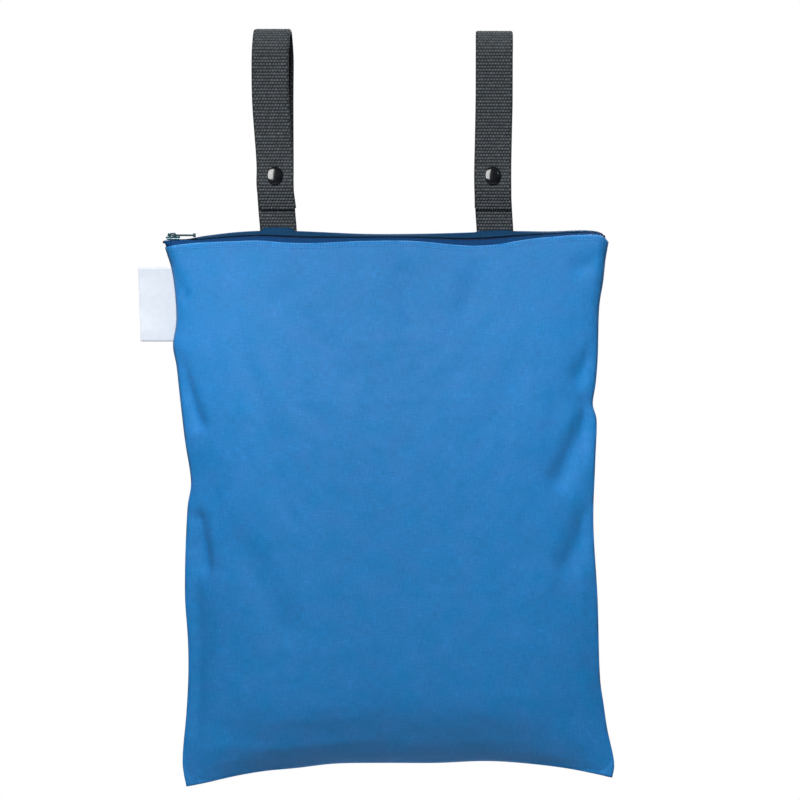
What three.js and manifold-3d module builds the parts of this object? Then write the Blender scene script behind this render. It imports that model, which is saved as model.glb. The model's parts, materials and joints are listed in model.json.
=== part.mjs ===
// A hanging wet bag: a zip-top cloth pouch with two webbing loops that close with press snaps.
// Millimetres, +Z up. The origin is on the axis of the rail that the loops go over, midway between
// them, and the front of the bag faces -Y.
import * as THREE from 'three';
import { mergeVertices } from 'three/addons/utils/BufferGeometryUtils.js';
import Module from 'manifold-3d';

const wasm = await Module();
wasm.setup();

// Clearance between pieces that touch.
const GAP = 0.3;

// Cloth pouch
const CLOTH_WALL = 1.4;
const SEAM_WIDTH = 2.2;
const FRONT_BULGE = 36;
const BACK_BULGE = 30;
const MOUTH_HALF = 5;
const MOUTH_CORNER = 1.6;
const FRONT_ROUNDNESS = 3.2;
const BACK_ROUNDNESS = 2.8;
const COLUMNS = 24;
const ROWS = 26;
const ROW_CROWDING = 0.11;

// Zip
const TAPE_THICKNESS = 1;
const COIL_WIDTH = 4;
const COIL_THICKNESS = 2.2;
const ZIP_SAMPLES = 20;
const ZIP_START_MARGIN = 3;
const ZIP_END_MARGIN = 4.5;
const SLIDER_LENGTH = 9.6;
const SLIDER_WIDTH = 6.6;
const SLIDER_PLATE = 1.1;
const SLIDER_WEDGE = 2.6;
const SLIDER_OVERHANG = 3.2;
const PULL_REACH = 15.6;
const PULL_WIDTH = 4.8;
const PULL_THICKNESS = 1;
const PULL_PIN_RADIUS = 0.55;
const PULL_PIN_HEIGHT = 3.5;
const PULL_LIP = 2.4;

// Side label
const LABEL = { thickness: 1, outerX: -168, top: -147.2, bottom: -198.3 };

// Webbing loops and their snaps
const WEBBING_WIDTH = 25.4;
const WEBBING_THICKNESS = 1.8;
const RAIL_RADIUS = 12.7;
const STRAP_TUCK = 9;
const STRAP_SAMPLES = 56;
const SNAP_Z = -84.5;
const SNAP_STACK = 3.4;
const SNAP_CAP_RADIUS = 6.2;
const SNAP_CAP_HEIGHT = 2.4;
const SNAP_SOCKET_RADIUS = 4.6;
const FREE_END_Z = -106.3;

// Where each loop's webbing runs, left to right, and how high it stands off the top of the rail.
const STRAPS = [
  { side: 'left', frontX: -76.6, backX: -74.2, snapX: -73.8, endX: -72.6, seamX: -71.8, lift: 1.7 },
  { side: 'right', frontX: 76.4, backX: 77.2, snapX: 75.8, endX: 76.1, seamX: 77.5, lift: 0.3 },
];

// The side seams from the top corner to the bottom corner, with their notches.
const LEFT_SEAM = [
  { z: -128.5, x: -148.8 }, { z: -134, x: -149.5 }, { z: -146, x: -145.6 }, { z: -163, x: -142.9 },
  { z: -185, x: -141.8 }, { z: -201, x: -144.2 }, { z: -214, x: -141.8 }, { z: -234, x: -139.6 },
  { z: -266, x: -135.9 }, { z: -296, x: -131.6 }, { z: -312, x: -134.1 }, { z: -370, x: -135.9 },
  { z: -404, x: -133.8 }, { z: -427, x: -133.5 }, { z: -453, x: -134.8 }, { z: -488, x: -137.5 },
  { z: -504.3, x: -134.8 },
];
const RIGHT_SEAM = [
  { z: -129.9, x: 155.4 }, { z: -141, x: 153.5 }, { z: -157, x: 151.8 }, { z: -174, x: 149.1 },
  { z: -210, x: 148 }, { z: -228, x: 146.6 }, { z: -244, x: 144.4 }, { z: -250, x: 147.2 },
  { z: -282, x: 146.3 }, { z: -324, x: 145 }, { z: -376, x: 147.9 }, { z: -431, x: 149.6 },
  { z: -451, x: 152.4 }, { z: -465, x: 154.5 }, { z: -488, x: 159.4 }, { z: -498, x: 157.9 },
];
// The heights of the sharp notches, which get rows of their own.
const LEFT_NOTCH_Z = [-296];
const RIGHT_NOTCH_Z = [-244, -250];
// The bottom seam bows up between its two hanging corners.
const BOTTOM_SEAM = [
  { x: -134.8, z: -504.3 }, { x: -122, z: -501.8 }, { x: -101, z: -497 }, { x: -81, z: -493.6 },
  { x: -59, z: -491.5 }, { x: -33, z: -488.5 }, { x: 0, z: -488 }, { x: 37, z: -488 },
  { x: 70, z: -486.7 }, { x: 95, z: -488 }, { x: 127, z: -491.8 }, { x: 157.9, z: -498 },
];
// The two edges of the mouth: the back one is held up by the webbing, the front one hangs lower.
const MOUTH = [
  { x: -149.5, backZ: -128.5, frontZ: -128.5 }, { x: -125.5, backZ: -125.4, frontZ: -130.6 },
  { x: -98, backZ: -122.6, frontZ: -129.4 }, { x: -72, backZ: -121.6, frontZ: -130.2 },
  { x: -46, backZ: -122.6, frontZ: -130.8 }, { x: -12, backZ: -124, frontZ: -129.6 },
  { x: 20, backZ: -124, frontZ: -129.6 }, { x: 55, backZ: -123.2, frontZ: -132.2 },
  { x: 80, backZ: -122, frontZ: -131 }, { x: 115, backZ: -122.3, frontZ: -127.4 },
  { x: 142, backZ: -121.6, frontZ: -126.6 }, { x: 152, backZ: -124, frontZ: -127.6 },
  { x: 155.4, backZ: -129.9, frontZ: -129.9 },
];
// Seen from the side: how full the pouch is from the mouth, 0, to the bottom seam, 1.
const SIDE_PROFILE = [
  { down: 0, full: 0 }, { down: 0.08, full: 0.22 }, { down: 0.22, full: 0.56 },
  { down: 0.4, full: 0.85 }, { down: 0.6, full: 1 }, { down: 0.76, full: 0.95 },
  { down: 0.88, full: 0.74 }, { down: 0.95, full: 0.44 }, { down: 1, full: 0 },
];
// Folds of each side, as lines in the front view; depth is out of the bag, or into it below zero.
const FRONT_FOLDS = [
  { x1: -142, z1: -150, x2: -136, z2: -172, width: 7, depth: -3 },
  { x1: -143, z1: -208, x2: -117, z2: -268, width: 9, depth: -4.5 },
  { x1: -129, z1: -306, x2: -122, z2: -350, width: 8, depth: -4.5 },
  { x1: -132, z1: -430, x2: -118, z2: -470, width: 10, depth: -3.5 },
  { x1: -98, z1: -335, x2: -66, z2: -392, width: 12, depth: -2.2 },
  { x1: -58, z1: -160, x2: -6, z2: -222, width: 11, depth: -2 },
  { x1: 12, z1: -150, x2: 22, z2: -182, width: 9, depth: -2 },
  { x1: 66, z1: -138, x2: 60, z2: -170, width: 9, depth: -2.4 },
  { x1: 152, z1: -136, x2: 136, z2: -146, width: 7, depth: -3 },
  { x1: 147, z1: -205, x2: 136, z2: -222, width: 7, depth: -3 },
  { x1: 146, z1: -246, x2: 122, z2: -292, width: 9, depth: -4.5 },
  { x1: 143, z1: -322, x2: 128, z2: -350, width: 9, depth: -3.5 },
  { x1: -100, z1: -468, x2: 110, z2: -466, width: 13, depth: -2 },
];
const BACK_FOLDS = [
  { x1: -134, z1: -296, x2: -108, z2: -338, width: 10, depth: -4 },
  { x1: 147, z1: -247, x2: 118, z2: -214, width: 10, depth: -4 },
  { x1: -72, z1: -136, x2: -66, z2: -200, width: 14, depth: 2.5 },
  { x1: 77, z1: -136, x2: 72, z2: -200, width: 14, depth: 2.5 },
  { x1: -120, z1: -462, x2: 120, z2: -458, width: 14, depth: -2 },
];

const COLOURS = {
  cloth: 0x2e7ab8,
  zip: 0x1c3a5c,
  webbing: 0x3d4244,
  label: 0xe6eff8,
  snap: 0x0b0c0e,
  metal: 0x56646e,
};

const clamp = THREE.MathUtils.clamp;
const lerp = THREE.MathUtils.lerp;
const smoothstep = THREE.MathUtils.smoothstep;

// A smooth curve through a table's rows, read as one column against another.
function curveThrough(rows, from, to) {
  const sorted = [...rows].sort((a, b) => a[from] - b[from]);
  const slopes = sorted.map((row, i) => {
    const before = sorted[Math.max(i - 1, 0)];
    const after = sorted[Math.min(i + 1, sorted.length - 1)];
    return (after[to] - before[to]) / (after[from] - before[from]);
  });
  return (value) => {
    const at = clamp(value, sorted[0][from], sorted[sorted.length - 1][from]);
    let i = 0;
    while (i < sorted.length - 2 && at > sorted[i + 1][from]) i += 1;
    const span = sorted[i + 1][from] - sorted[i][from];
    const t = (at - sorted[i][from]) / span;
    const rise = sorted[i + 1][to] - sorted[i][to];
    const bend = t * (1 - t) * ((1 - t) * (slopes[i] * span - rise) - t * (slopes[i + 1] * span - rise));
    return sorted[i][to] + t * rise + bend;
  };
}

const leftSeamX = curveThrough(LEFT_SEAM, 'z', 'x');
const rightSeamX = curveThrough(RIGHT_SEAM, 'z', 'x');
const bottomSeamZ = curveThrough(BOTTOM_SEAM, 'x', 'z');
const mouthBackZ = curveThrough(MOUTH, 'x', 'backZ');
const mouthFrontZ = curveThrough(MOUTH, 'x', 'frontZ');
const fullness = curveThrough(SIDE_PROFILE, 'down', 'full');
const TOP_LEFT = LEFT_SEAM[0];
const TOP_RIGHT = RIGHT_SEAM[0];
const BOTTOM_LEFT = BOTTOM_SEAM[0];
const BOTTOM_RIGHT = BOTTOM_SEAM[BOTTOM_SEAM.length - 1];

function material(colour, roughness, metalness = 0) {
  return new THREE.MeshStandardMaterial({ color: colour, roughness, metalness });
}

function named(name, geometry, finish) {
  geometry.computeVertexNormals();
  const mesh = new THREE.Mesh(geometry, finish);
  mesh.name = name;
  return mesh;
}

function geometryOf(points, triangles) {
  const geometry = new THREE.BufferGeometry();
  geometry.setAttribute('position', new THREE.Float32BufferAttribute(points.flat(), 3));
  geometry.setIndex(triangles);
  return geometry;
}

function solidOf(geometry) {
  const bare = geometry.clone();
  bare.deleteAttribute('normal');
  bare.deleteAttribute('uv');
  const merged = mergeVertices(bare);
  return new wasm.Manifold(new wasm.Mesh({
    numProp: 3,
    vertProperties: new Float32Array(merged.attributes.position.array),
    triVerts: new Uint32Array(merged.index.array),
  }));
}

function geometryFrom(solid) {
  const mesh = solid.getMesh();
  const geometry = new THREE.BufferGeometry();
  geometry.setAttribute('position', new THREE.BufferAttribute(mesh.vertProperties, 3));
  geometry.setIndex(new THREE.BufferAttribute(mesh.triVerts, 1));
  return geometry;
}

// A closed solid from rings of points that all run the same way round, with its two ends filled.
function loft(rings) {
  const around = rings[0].length;
  const triangles = [];
  for (let i = 0; i < rings.length - 1; i += 1) {
    for (let j = 0; j < around; j += 1) {
      const a = i * around + j;
      const b = i * around + ((j + 1) % around);
      triangles.push(a, b, b + around, a, b + around, a + around);
    }
  }
  const last = (rings.length - 1) * around;
  for (let j = 1; j < around - 1; j += 1) {
    triangles.push(0, j + 1, j);
    triangles.push(last, last + j, last + j + 1);
  }
  return geometryOf(rings.flat(), triangles);
}

// How far out the cloth stands at a point of a side because of its folds.
function foldDepth(folds, x, z) {
  let total = 0;
  for (const fold of folds) {
    const along = new THREE.Vector2(fold.x2 - fold.x1, fold.z2 - fold.z1);
    const from = new THREE.Vector2(x - fold.x1, z - fold.z1);
    const place = from.dot(along) / along.lengthSq();
    const nearest = clamp(place, 0, 1);
    const off = Math.hypot(from.x - nearest * along.x, from.y - nearest * along.y) / fold.width;
    total += fold.depth * Math.exp(-off * off);
  }
  return total;
}

// The extra thickness in the back edge of the mouth where the webbing is sewn into it.
function webbingInSeam(x) {
  const edge = WEBBING_WIDTH / 2 + 1;
  let most = 0;
  for (const strap of STRAPS) {
    const past = Math.abs(x - strap.seamX) - edge;
    most = Math.max(most, 1 - smoothstep(past, 0, 4));
  }
  return most * (WEBBING_THICKNESS + GAP);
}

// How far the mouth is open at a place along it; it closes at the side seams.
function mouthOpen(x) {
  const fromEnd = Math.min(x - TOP_LEFT.x, TOP_RIGHT.x - x);
  return MOUTH_HALF * smoothstep(fromEnd, 0, MOUTH_CORNER);
}

// The share of the way across, -1 to 1, for each column of a side; they are closest at the seams.
function columnPlaces(extraX) {
  const middle = (TOP_LEFT.x + TOP_RIGHT.x) / 2;
  const half = (TOP_RIGHT.x - TOP_LEFT.x) / 2;
  const extras = extraX.map((x) => (x - middle) / half);
  const spaced = [];
  for (let i = 0; i <= COLUMNS; i += 1) spaced.push(Math.sin((i / COLUMNS - 0.5) * Math.PI));
  const near = (place) => extras.some((extra) => Math.abs(extra - place) < 2 / half);
  const kept = spaced.filter((place, i) => i === 0 || i === COLUMNS || !near(place));
  return [...kept, ...extras].sort((a, b) => a - b);
}

// The share of the way down for each row, with rows at the notches of the side seams.
function rowPlaces() {
  const share = (top, bottom) => (z) => (top.z - z) / (top.z - bottom.z);
  const notches = [
    ...LEFT_NOTCH_Z.map(share(TOP_LEFT, BOTTOM_LEFT)),
    ...RIGHT_NOTCH_Z.map(share(TOP_RIGHT, BOTTOM_RIGHT)),
  ];
  const spaced = [];
  for (let i = 0; i <= ROWS; i += 1) {
    const even = i / ROWS;
    spaced.push(even - ROW_CROWDING * Math.sin(2 * Math.PI * even));
  }
  const kept = spaced.filter((place) => !notches.some((notch) => Math.abs(notch - place) < 0.012));
  return [...kept, ...notches].sort((a, b) => a - b);
}

// One cloth side: an outer skin, an inner skin and the rims between them. Forward is -1 or 1.
function clothSide({ forward, bulge, roundness, mouthZ, folds, seamBump, extraX }) {
  const across = columnPlaces(extraX);
  const down = rowPlaces();
  const points = [];
  for (const inner of [false, true]) {
    for (const v of down) {
      const leftX = leftSeamX(lerp(TOP_LEFT.z, BOTTOM_LEFT.z, v));
      const rightX = rightSeamX(lerp(TOP_RIGHT.z, BOTTOM_RIGHT.z, v));
      for (const u of across) {
        const x = lerp(leftX, rightX, (u + 1) / 2);
        const topX = lerp(TOP_LEFT.x, TOP_RIGHT.x, (u + 1) / 2);
        const z = lerp(mouthZ(topX), bottomSeamZ(x), v);
        const sideFade = 1 - Math.abs(u) ** 8;
        const round = (1 - Math.abs(u) ** roundness) * fullness(v);
        const wallAtMouth = CLOTH_WALL * Math.min(mouthOpen(topX) / MOUTH_HALF, 1);
        const atMouth = mouthOpen(topX) + wallAtMouth + seamBump(topX);
        const bumpFade = (1 - v) ** 22;
        const opening = (mouthOpen(topX) + wallAtMouth) * (1 - v) ** 3 * (1 - bumpFade);
        const edges = sideFade * smoothstep(v, 0.015, 0.1) * (1 - v ** 10);
        const rise = atMouth * bumpFade + opening + bulge * round + foldDepth(folds, x, z) * edges;
        const wall = inner ? CLOTH_WALL : 0;
        const rim = SEAM_WIDTH * lerp(0.35, 1, smoothstep(v, 0, 0.04));
        const wallX = inner ? Math.sign(u) * rim * Math.abs(u) ** 6 : 0;
        const wallZ = inner ? SEAM_WIDTH * v ** 12 : 0;
        const wallY = wall * sideFade * (1 - v ** 16);
        points.push([x - wallX, forward * (GAP / 2 + Math.max(rise - wallY, 0)), z + wallZ]);
      }
    }
  }
  const wide = across.length;
  const tall = down.length;
  const skin = wide * tall;
  const triangles = [];
  const quad = (a, b, c, d) => {
    if (forward < 0) triangles.push(a, b, c, a, c, d);
    else triangles.push(a, c, b, a, d, c);
  };
  for (let row = 0; row < tall - 1; row += 1) {
    for (let column = 0; column < wide - 1; column += 1) {
      const a = row * wide + column;
      quad(a, a + wide, a + wide + 1, a + 1);
      quad(skin + a, skin + a + 1, skin + a + wide + 1, skin + a + wide);
    }
  }
  const border = [];
  for (let column = 0; column < wide - 1; column += 1) border.push(column);
  for (let row = 0; row < tall - 1; row += 1) border.push(row * wide + wide - 1);
  for (let column = wide - 1; column > 0; column -= 1) border.push((tall - 1) * wide + column);
  for (let row = tall - 1; row > 0; row -= 1) border.push(row * wide);
  border.forEach((a, i) => {
    const b = border[(i + 1) % border.length];
    quad(a, b, skin + b, skin + a);
  });
  return geometryOf(points, triangles);
}

// The zip's own frame at a place along the mouth: its middle, across it and out of it.
function zipFrame(x) {
  const back = new THREE.Vector3(x, MOUTH_HALF - GAP, mouthBackZ(x) - GAP);
  const front = new THREE.Vector3(x, -MOUTH_HALF + GAP, mouthFrontZ(x) - GAP);
  const across = new THREE.Vector3().subVectors(back, front);
  const width = across.length();
  across.normalize();
  const out = new THREE.Vector3(1, 0, 0).cross(across);
  const middle = new THREE.Vector3().addVectors(back, front).multiplyScalar(0.5);
  return { middle, across, out, half: width / 2 };
}

function zipPlaces(startX, endX) {
  const places = [];
  for (let i = 0; i <= ZIP_SAMPLES; i += 1) places.push(lerp(startX, endX, i / ZIP_SAMPLES));
  return places;
}

const ZIP_START_X = TOP_LEFT.x + ZIP_START_MARGIN;
const ZIP_END_X = TOP_RIGHT.x - ZIP_END_MARGIN;
const SLIDER_X = TOP_LEFT.x + SLIDER_LENGTH / 2;

// A tape from the edge of the cloth to the side of the coil, towards the back, 1, or the front, -1.
function zipTape(towards) {
  const rings = zipPlaces(ZIP_START_X, ZIP_END_X).map((x) => {
    const { middle, across, out, half } = zipFrame(x);
    const near = COIL_WIDTH / 2 + GAP;
    const far = half - TAPE_THICKNESS / 2;
    const corner = (side, up) => middle.clone()
      .addScaledVector(across, towards * side)
      .addScaledVector(out, up * TAPE_THICKNESS / 2)
      .toArray();
    const ring = [corner(near, -1), corner(far, -1), corner(far, 1), corner(near, 1)];
    return towards > 0 ? ring : ring.reverse();
  });
  return loft(rings);
}

// The closed teeth, as one rounded bar that ends inside the slider.
function zipCoil() {
  const startX = ZIP_START_X + SLIDER_WEDGE + GAP;
  const rings = zipPlaces(startX, ZIP_END_X).map((x) => {
    const { middle, across, out } = zipFrame(x);
    const ring = [];
    for (let i = 0; i < 8; i += 1) {
      const angle = ((i + 0.5) / 8) * 2 * Math.PI;
      ring.push(middle.clone()
        .addScaledVector(across, (Math.cos(angle) / Math.cos(Math.PI / 8)) * COIL_WIDTH / 2)
        .addScaledVector(out, (Math.sin(angle) / Math.cos(Math.PI / 8)) * COIL_THICKNESS / 2)
        .toArray());
    }
    return ring;
  });
  return loft(rings);
}

// An outline in the plane of the zip with rounded corners.
function roundedOutline(x0, y0, x1, y1, radius) {
  const shape = new THREE.Shape();
  shape.moveTo(x0 + radius, y0);
  shape.lineTo(x1 - radius, y0);
  shape.absarc(x1 - radius, y0 + radius, radius, -Math.PI / 2, 0, false);
  shape.lineTo(x1, y1 - radius);
  shape.absarc(x1 - radius, y1 - radius, radius, 0, Math.PI / 2, false);
  shape.lineTo(x0 + radius, y1);
  shape.absarc(x0 + radius, y1 - radius, radius, Math.PI / 2, Math.PI, false);
  shape.lineTo(x0, y0 + radius);
  shape.absarc(x0 + radius, y0 + radius, radius, Math.PI, 1.5 * Math.PI, false);
  return shape;
}

function plate(shape, bottom, top) {
  const options = { depth: top - bottom, bevelEnabled: false, curveSegments: 4 };
  return new THREE.ExtrudeGeometry(shape, options).translate(0, 0, bottom);
}

// The slider: two plates round the coil, the wedge that joins them, and the bridge for the pull.
// The upper plate reaches past the corner of the mouth, and the lower one stays inside it.
function sliderBody() {
  const half = SLIDER_LENGTH / 2;
  const wide = SLIDER_WIDTH / 2;
  const inside = COIL_THICKNESS / 2 + 0.4;
  const mouthEnd = -half + SLIDER_OVERHANG;
  const upper = roundedOutline(-half, -wide, half, wide, 1.6);
  const lower = roundedOutline(mouthEnd, -wide, half, wide, 1.4);
  const wedge = roundedOutline(mouthEnd, -1.1, mouthEnd + SLIDER_WEDGE - 0.2, 1.1, 0.8);
  const bridgeTop = inside + SLIDER_PLATE + 2.5;
  const bridge = roundedOutline(-2.7, 0, 2.7, bridgeTop - inside - 0.3, 1.2);
  bridge.holes.push(roundedOutline(-1.5, 0.9, 1.5, bridgeTop - inside - 1.1, 0.7));
  const arch = new THREE.ExtrudeGeometry(bridge, { depth: 1.8, bevelEnabled: false, curveSegments: 4 })
    .translate(0, 0, -0.9)
    .rotateX(Math.PI / 2)
    .translate(0, 0, inside + 0.3);
  return geometryFrom(solidOf(plate(upper, inside, inside + SLIDER_PLATE))
    .add(solidOf(plate(lower, -inside - SLIDER_PLATE, -inside)))
    .add(solidOf(plate(wedge, -inside - 0.5, inside + 0.5)))
    .add(solidOf(arch)));
}

// The pull about its own pin: an eye round the bridge, then a plate with a thick lip at its end.
function pullTab() {
  const wide = PULL_WIDTH / 2;
  const thick = PULL_THICKNESS / 2;
  const tab = roundedOutline(-PULL_PIN_RADIUS, -wide, PULL_REACH, wide, 0.5);
  tab.holes.push(roundedOutline(PULL_PIN_RADIUS, -1.25, 3.7, 1.25, 0.3));
  const lip = roundedOutline(PULL_REACH - 1.7, -wide, PULL_REACH, wide, 0.5);
  return geometryFrom(solidOf(plate(tab, -thick, thick))
    .add(solidOf(plate(lip, -PULL_LIP / 2, PULL_LIP / 2))));
}

// A small rounded block that stops the slider at the end of the coil.
function zipStop() {
  return plate(roundedOutline(-0.9, -2.4, 0.9, 2.4, 0.6), -1.3, 1.3);
}

// A folded label that follows the side seam.
function sideLabel() {
  const steps = 8;
  const shape = new THREE.Shape();
  shape.moveTo(LABEL.outerX, LABEL.top);
  shape.lineTo(LABEL.outerX, LABEL.bottom);
  for (let i = 0; i <= steps; i += 1) {
    const z = lerp(LABEL.bottom, LABEL.top, i / steps);
    shape.lineTo(leftSeamX(z) - GAP, z);
  }
  return new THREE.ExtrudeGeometry(shape, { depth: LABEL.thickness, bevelEnabled: false })
    .translate(0, 0, -LABEL.thickness / 2)
    .rotateX(Math.PI / 2);
}

// The middle line of one loop: out of the back seam, up behind the rail, over it and down in front.
function strapLine(strap) {
  const seat = RAIL_RADIUS + GAP + WEBBING_THICKNESS / 2;
  const closed = (SNAP_STACK + WEBBING_THICKNESS) / 2 + GAP;
  const seamY = MOUTH_HALF + webbingInSeam(strap.seamX) - GAP - WEBBING_THICKNESS / 2;
  const seamZ = mouthBackZ(strap.seamX);
  const points = [
    new THREE.Vector3(strap.seamX, seamY, seamZ - STRAP_TUCK),
    new THREE.Vector3(strap.seamX, seamY, seamZ),
    new THREE.Vector3(strap.seamX, lerp(seamY, closed, 0.5), seamZ + 13),
    new THREE.Vector3(strap.snapX, closed, SNAP_Z - 7),
    new THREE.Vector3(strap.snapX, closed, SNAP_Z + 7),
    new THREE.Vector3(strap.backX, lerp(closed, seat, 0.62), SNAP_Z * 0.38),
  ];
  const turns = 10;
  for (let i = 0; i <= turns; i += 1) {
    const angle = lerp(-0.14, Math.PI + 0.14, i / turns);
    const height = seat * Math.sin(angle) + strap.lift * Math.max(Math.sin(angle), 0) ** 3;
    const x = lerp(strap.backX, strap.frontX, i / turns);
    points.push(new THREE.Vector3(x, seat * Math.cos(angle), height));
  }
  points.push(
    new THREE.Vector3(strap.frontX, -lerp(closed, seat, 0.62), SNAP_Z * 0.38),
    new THREE.Vector3(strap.snapX, -closed, SNAP_Z + 7),
    new THREE.Vector3(strap.snapX, -closed, SNAP_Z - 7),
    new THREE.Vector3(strap.endX, -closed - 0.5, FREE_END_Z),
  );
  return new THREE.CatmullRomCurve3(points, false, 'centripetal');
}

function strapWebbing(strap) {
  const line = strapLine(strap);
  const rings = [];
  for (let i = 0; i <= STRAP_SAMPLES; i += 1) {
    const centre = line.getPointAt(i / STRAP_SAMPLES);
    const along = line.getTangentAt(i / STRAP_SAMPLES);
    const outward = new THREE.Vector3(1, 0, 0).cross(along).normalize();
    const corner = (side, out) => [
      centre.x + side * WEBBING_WIDTH / 2,
      centre.y + outward.y * out * WEBBING_THICKNESS / 2,
      centre.z + outward.z * out * WEBBING_THICKNESS / 2,
    ];
    rings.push([corner(-1, 1), corner(1, 1), corner(1, -1), corner(-1, -1)]);
  }
  return loft(rings);
}

// A round piece of a snap, turned about the snap's axis, with the given profile of [radius, out].
function turnedForward(profile) {
  const points = profile.map(([radius, out]) => new THREE.Vector2(radius, out));
  return new THREE.LatheGeometry(points, 24);
}

function snapCap() {
  const r = SNAP_CAP_RADIUS;
  const h = SNAP_CAP_HEIGHT;
  return turnedForward([[0, 0], [r - 0.4, 0], [r, 0.5], [r - 0.7, h * 0.62], [r * 0.55, h * 0.93], [0, h]]);
}

function snapSocket() {
  const r = SNAP_SOCKET_RADIUS;
  return turnedForward([[0, 0], [r, 0], [r, SNAP_STACK], [0, SNAP_STACK]]);
}

const bag = new THREE.Group();

const cloth = () => material(COLOURS.cloth, 0.9);
bag.add(named('front_panel', clothSide({
  forward: -1,
  bulge: FRONT_BULGE,
  roundness: FRONT_ROUNDNESS,
  mouthZ: mouthFrontZ,
  folds: FRONT_FOLDS,
  seamBump: () => 0,
  extraX: [TOP_LEFT.x + MOUTH_CORNER, TOP_RIGHT.x - MOUTH_CORNER],
}), cloth()));
const strapEdges = STRAPS.flatMap((strap) => [-1, 1].flatMap((side) => [
  strap.seamX + side * (WEBBING_WIDTH / 2 + 1),
  strap.seamX + side * (WEBBING_WIDTH / 2 + 5),
]));
bag.add(named('back_panel', clothSide({
  forward: 1,
  bulge: BACK_BULGE,
  roundness: BACK_ROUNDNESS,
  mouthZ: mouthBackZ,
  folds: BACK_FOLDS,
  seamBump: webbingInSeam,
  extraX: [TOP_LEFT.x + MOUTH_CORNER, TOP_RIGHT.x - MOUTH_CORNER, ...strapEdges],
}), cloth()));

bag.add(named('back_tape', zipTape(1), material(COLOURS.zip, 0.85)));
bag.add(named('front_tape', zipTape(-1), material(COLOURS.zip, 0.85)));
bag.add(named('zipper_coil', zipCoil(), material(COLOURS.zip, 0.5)));

// Sets a piece made in the zip's own frame at a place along the mouth.
function onZip(x, ...pieces) {
  const { middle, across, out } = zipFrame(x);
  const group = new THREE.Group();
  group.setRotationFromMatrix(new THREE.Matrix4().makeBasis(new THREE.Vector3(1, 0, 0), across, out));
  group.position.copy(middle);
  group.add(...pieces);
  return group;
}

const slider = named('slider_body', sliderBody(), material(COLOURS.metal, 0.35, 0.9));
const pull = named('pull_tab', pullTab(), material(COLOURS.metal, 0.35, 0.9));
pull.position.set(0, 0, PULL_PIN_HEIGHT);
bag.add(onZip(SLIDER_X, slider, pull));
bag.add(onZip(ZIP_END_X + GAP + 0.9, named('zipper_stop', zipStop(), material(COLOURS.snap, 0.4))));

bag.add(named('side_label', sideLabel(), material(COLOURS.label, 0.6)));

for (const strap of STRAPS) {
  bag.add(named(`${strap.side}_strap`, strapWebbing(strap), material(COLOURS.webbing, 0.9)));
  const layer = SNAP_STACK / 2 + GAP + WEBBING_THICKNESS + GAP;
  const plastic = () => material(COLOURS.snap, 0.2);
  const socket = named(`${strap.side}_snap_socket`, snapSocket(), plastic());
  socket.position.set(strap.snapX, -SNAP_STACK / 2, SNAP_Z);
  const cap = named(`${strap.side}_snap_cap`, snapCap(), plastic());
  cap.position.set(strap.snapX, -layer, SNAP_Z);
  cap.rotation.z = Math.PI;
  const backCap = named(`${strap.side}_snap_back_cap`, snapCap(), plastic());
  backCap.position.set(strap.snapX, layer, SNAP_Z);
  bag.add(socket, cap, backCap);
}

export default bag;
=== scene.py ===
"""Dresses a hanging zip-top wet bag: puffed cotton sides, a navy zip, ribbed webbing loops and snaps.

Tables of the bag's shape are in millimetres, as the part is, and every finished mesh is in metres.
"""

import json
import math

import bpy
import numpy as np
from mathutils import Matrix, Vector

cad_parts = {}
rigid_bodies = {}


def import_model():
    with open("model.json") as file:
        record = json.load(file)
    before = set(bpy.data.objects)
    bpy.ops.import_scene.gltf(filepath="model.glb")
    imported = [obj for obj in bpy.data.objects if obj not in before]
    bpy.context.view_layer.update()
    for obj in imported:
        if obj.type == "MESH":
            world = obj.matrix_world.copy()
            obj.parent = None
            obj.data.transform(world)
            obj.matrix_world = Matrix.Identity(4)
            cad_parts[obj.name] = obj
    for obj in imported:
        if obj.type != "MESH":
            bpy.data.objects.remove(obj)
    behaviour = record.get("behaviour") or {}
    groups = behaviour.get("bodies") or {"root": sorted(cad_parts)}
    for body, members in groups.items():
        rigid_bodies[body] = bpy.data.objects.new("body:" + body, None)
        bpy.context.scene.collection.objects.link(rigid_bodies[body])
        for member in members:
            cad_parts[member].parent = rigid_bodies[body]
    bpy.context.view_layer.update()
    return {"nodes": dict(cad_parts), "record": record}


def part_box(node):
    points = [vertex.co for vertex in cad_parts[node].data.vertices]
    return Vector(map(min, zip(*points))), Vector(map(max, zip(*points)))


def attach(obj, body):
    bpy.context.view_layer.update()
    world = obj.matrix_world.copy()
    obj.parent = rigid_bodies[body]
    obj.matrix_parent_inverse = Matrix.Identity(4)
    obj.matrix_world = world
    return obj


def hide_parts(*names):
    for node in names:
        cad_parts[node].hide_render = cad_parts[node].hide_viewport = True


bl_info = {
    "name": "Hanging wet bag",
    "version": (1, 0, 0),
    "blender": (4, 5, 0),
    "location": "3D View > Sidebar > Wet bag",
    "description": "Cloth, zip, webbing, snaps and label of a hanging zip-top wet bag",
    "category": "Add Mesh",
}

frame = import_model()
MM = 0.001
# What is left between pieces that touch.
GAP = 0.3
BAG = "bag"
PULL = "pull"

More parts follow.
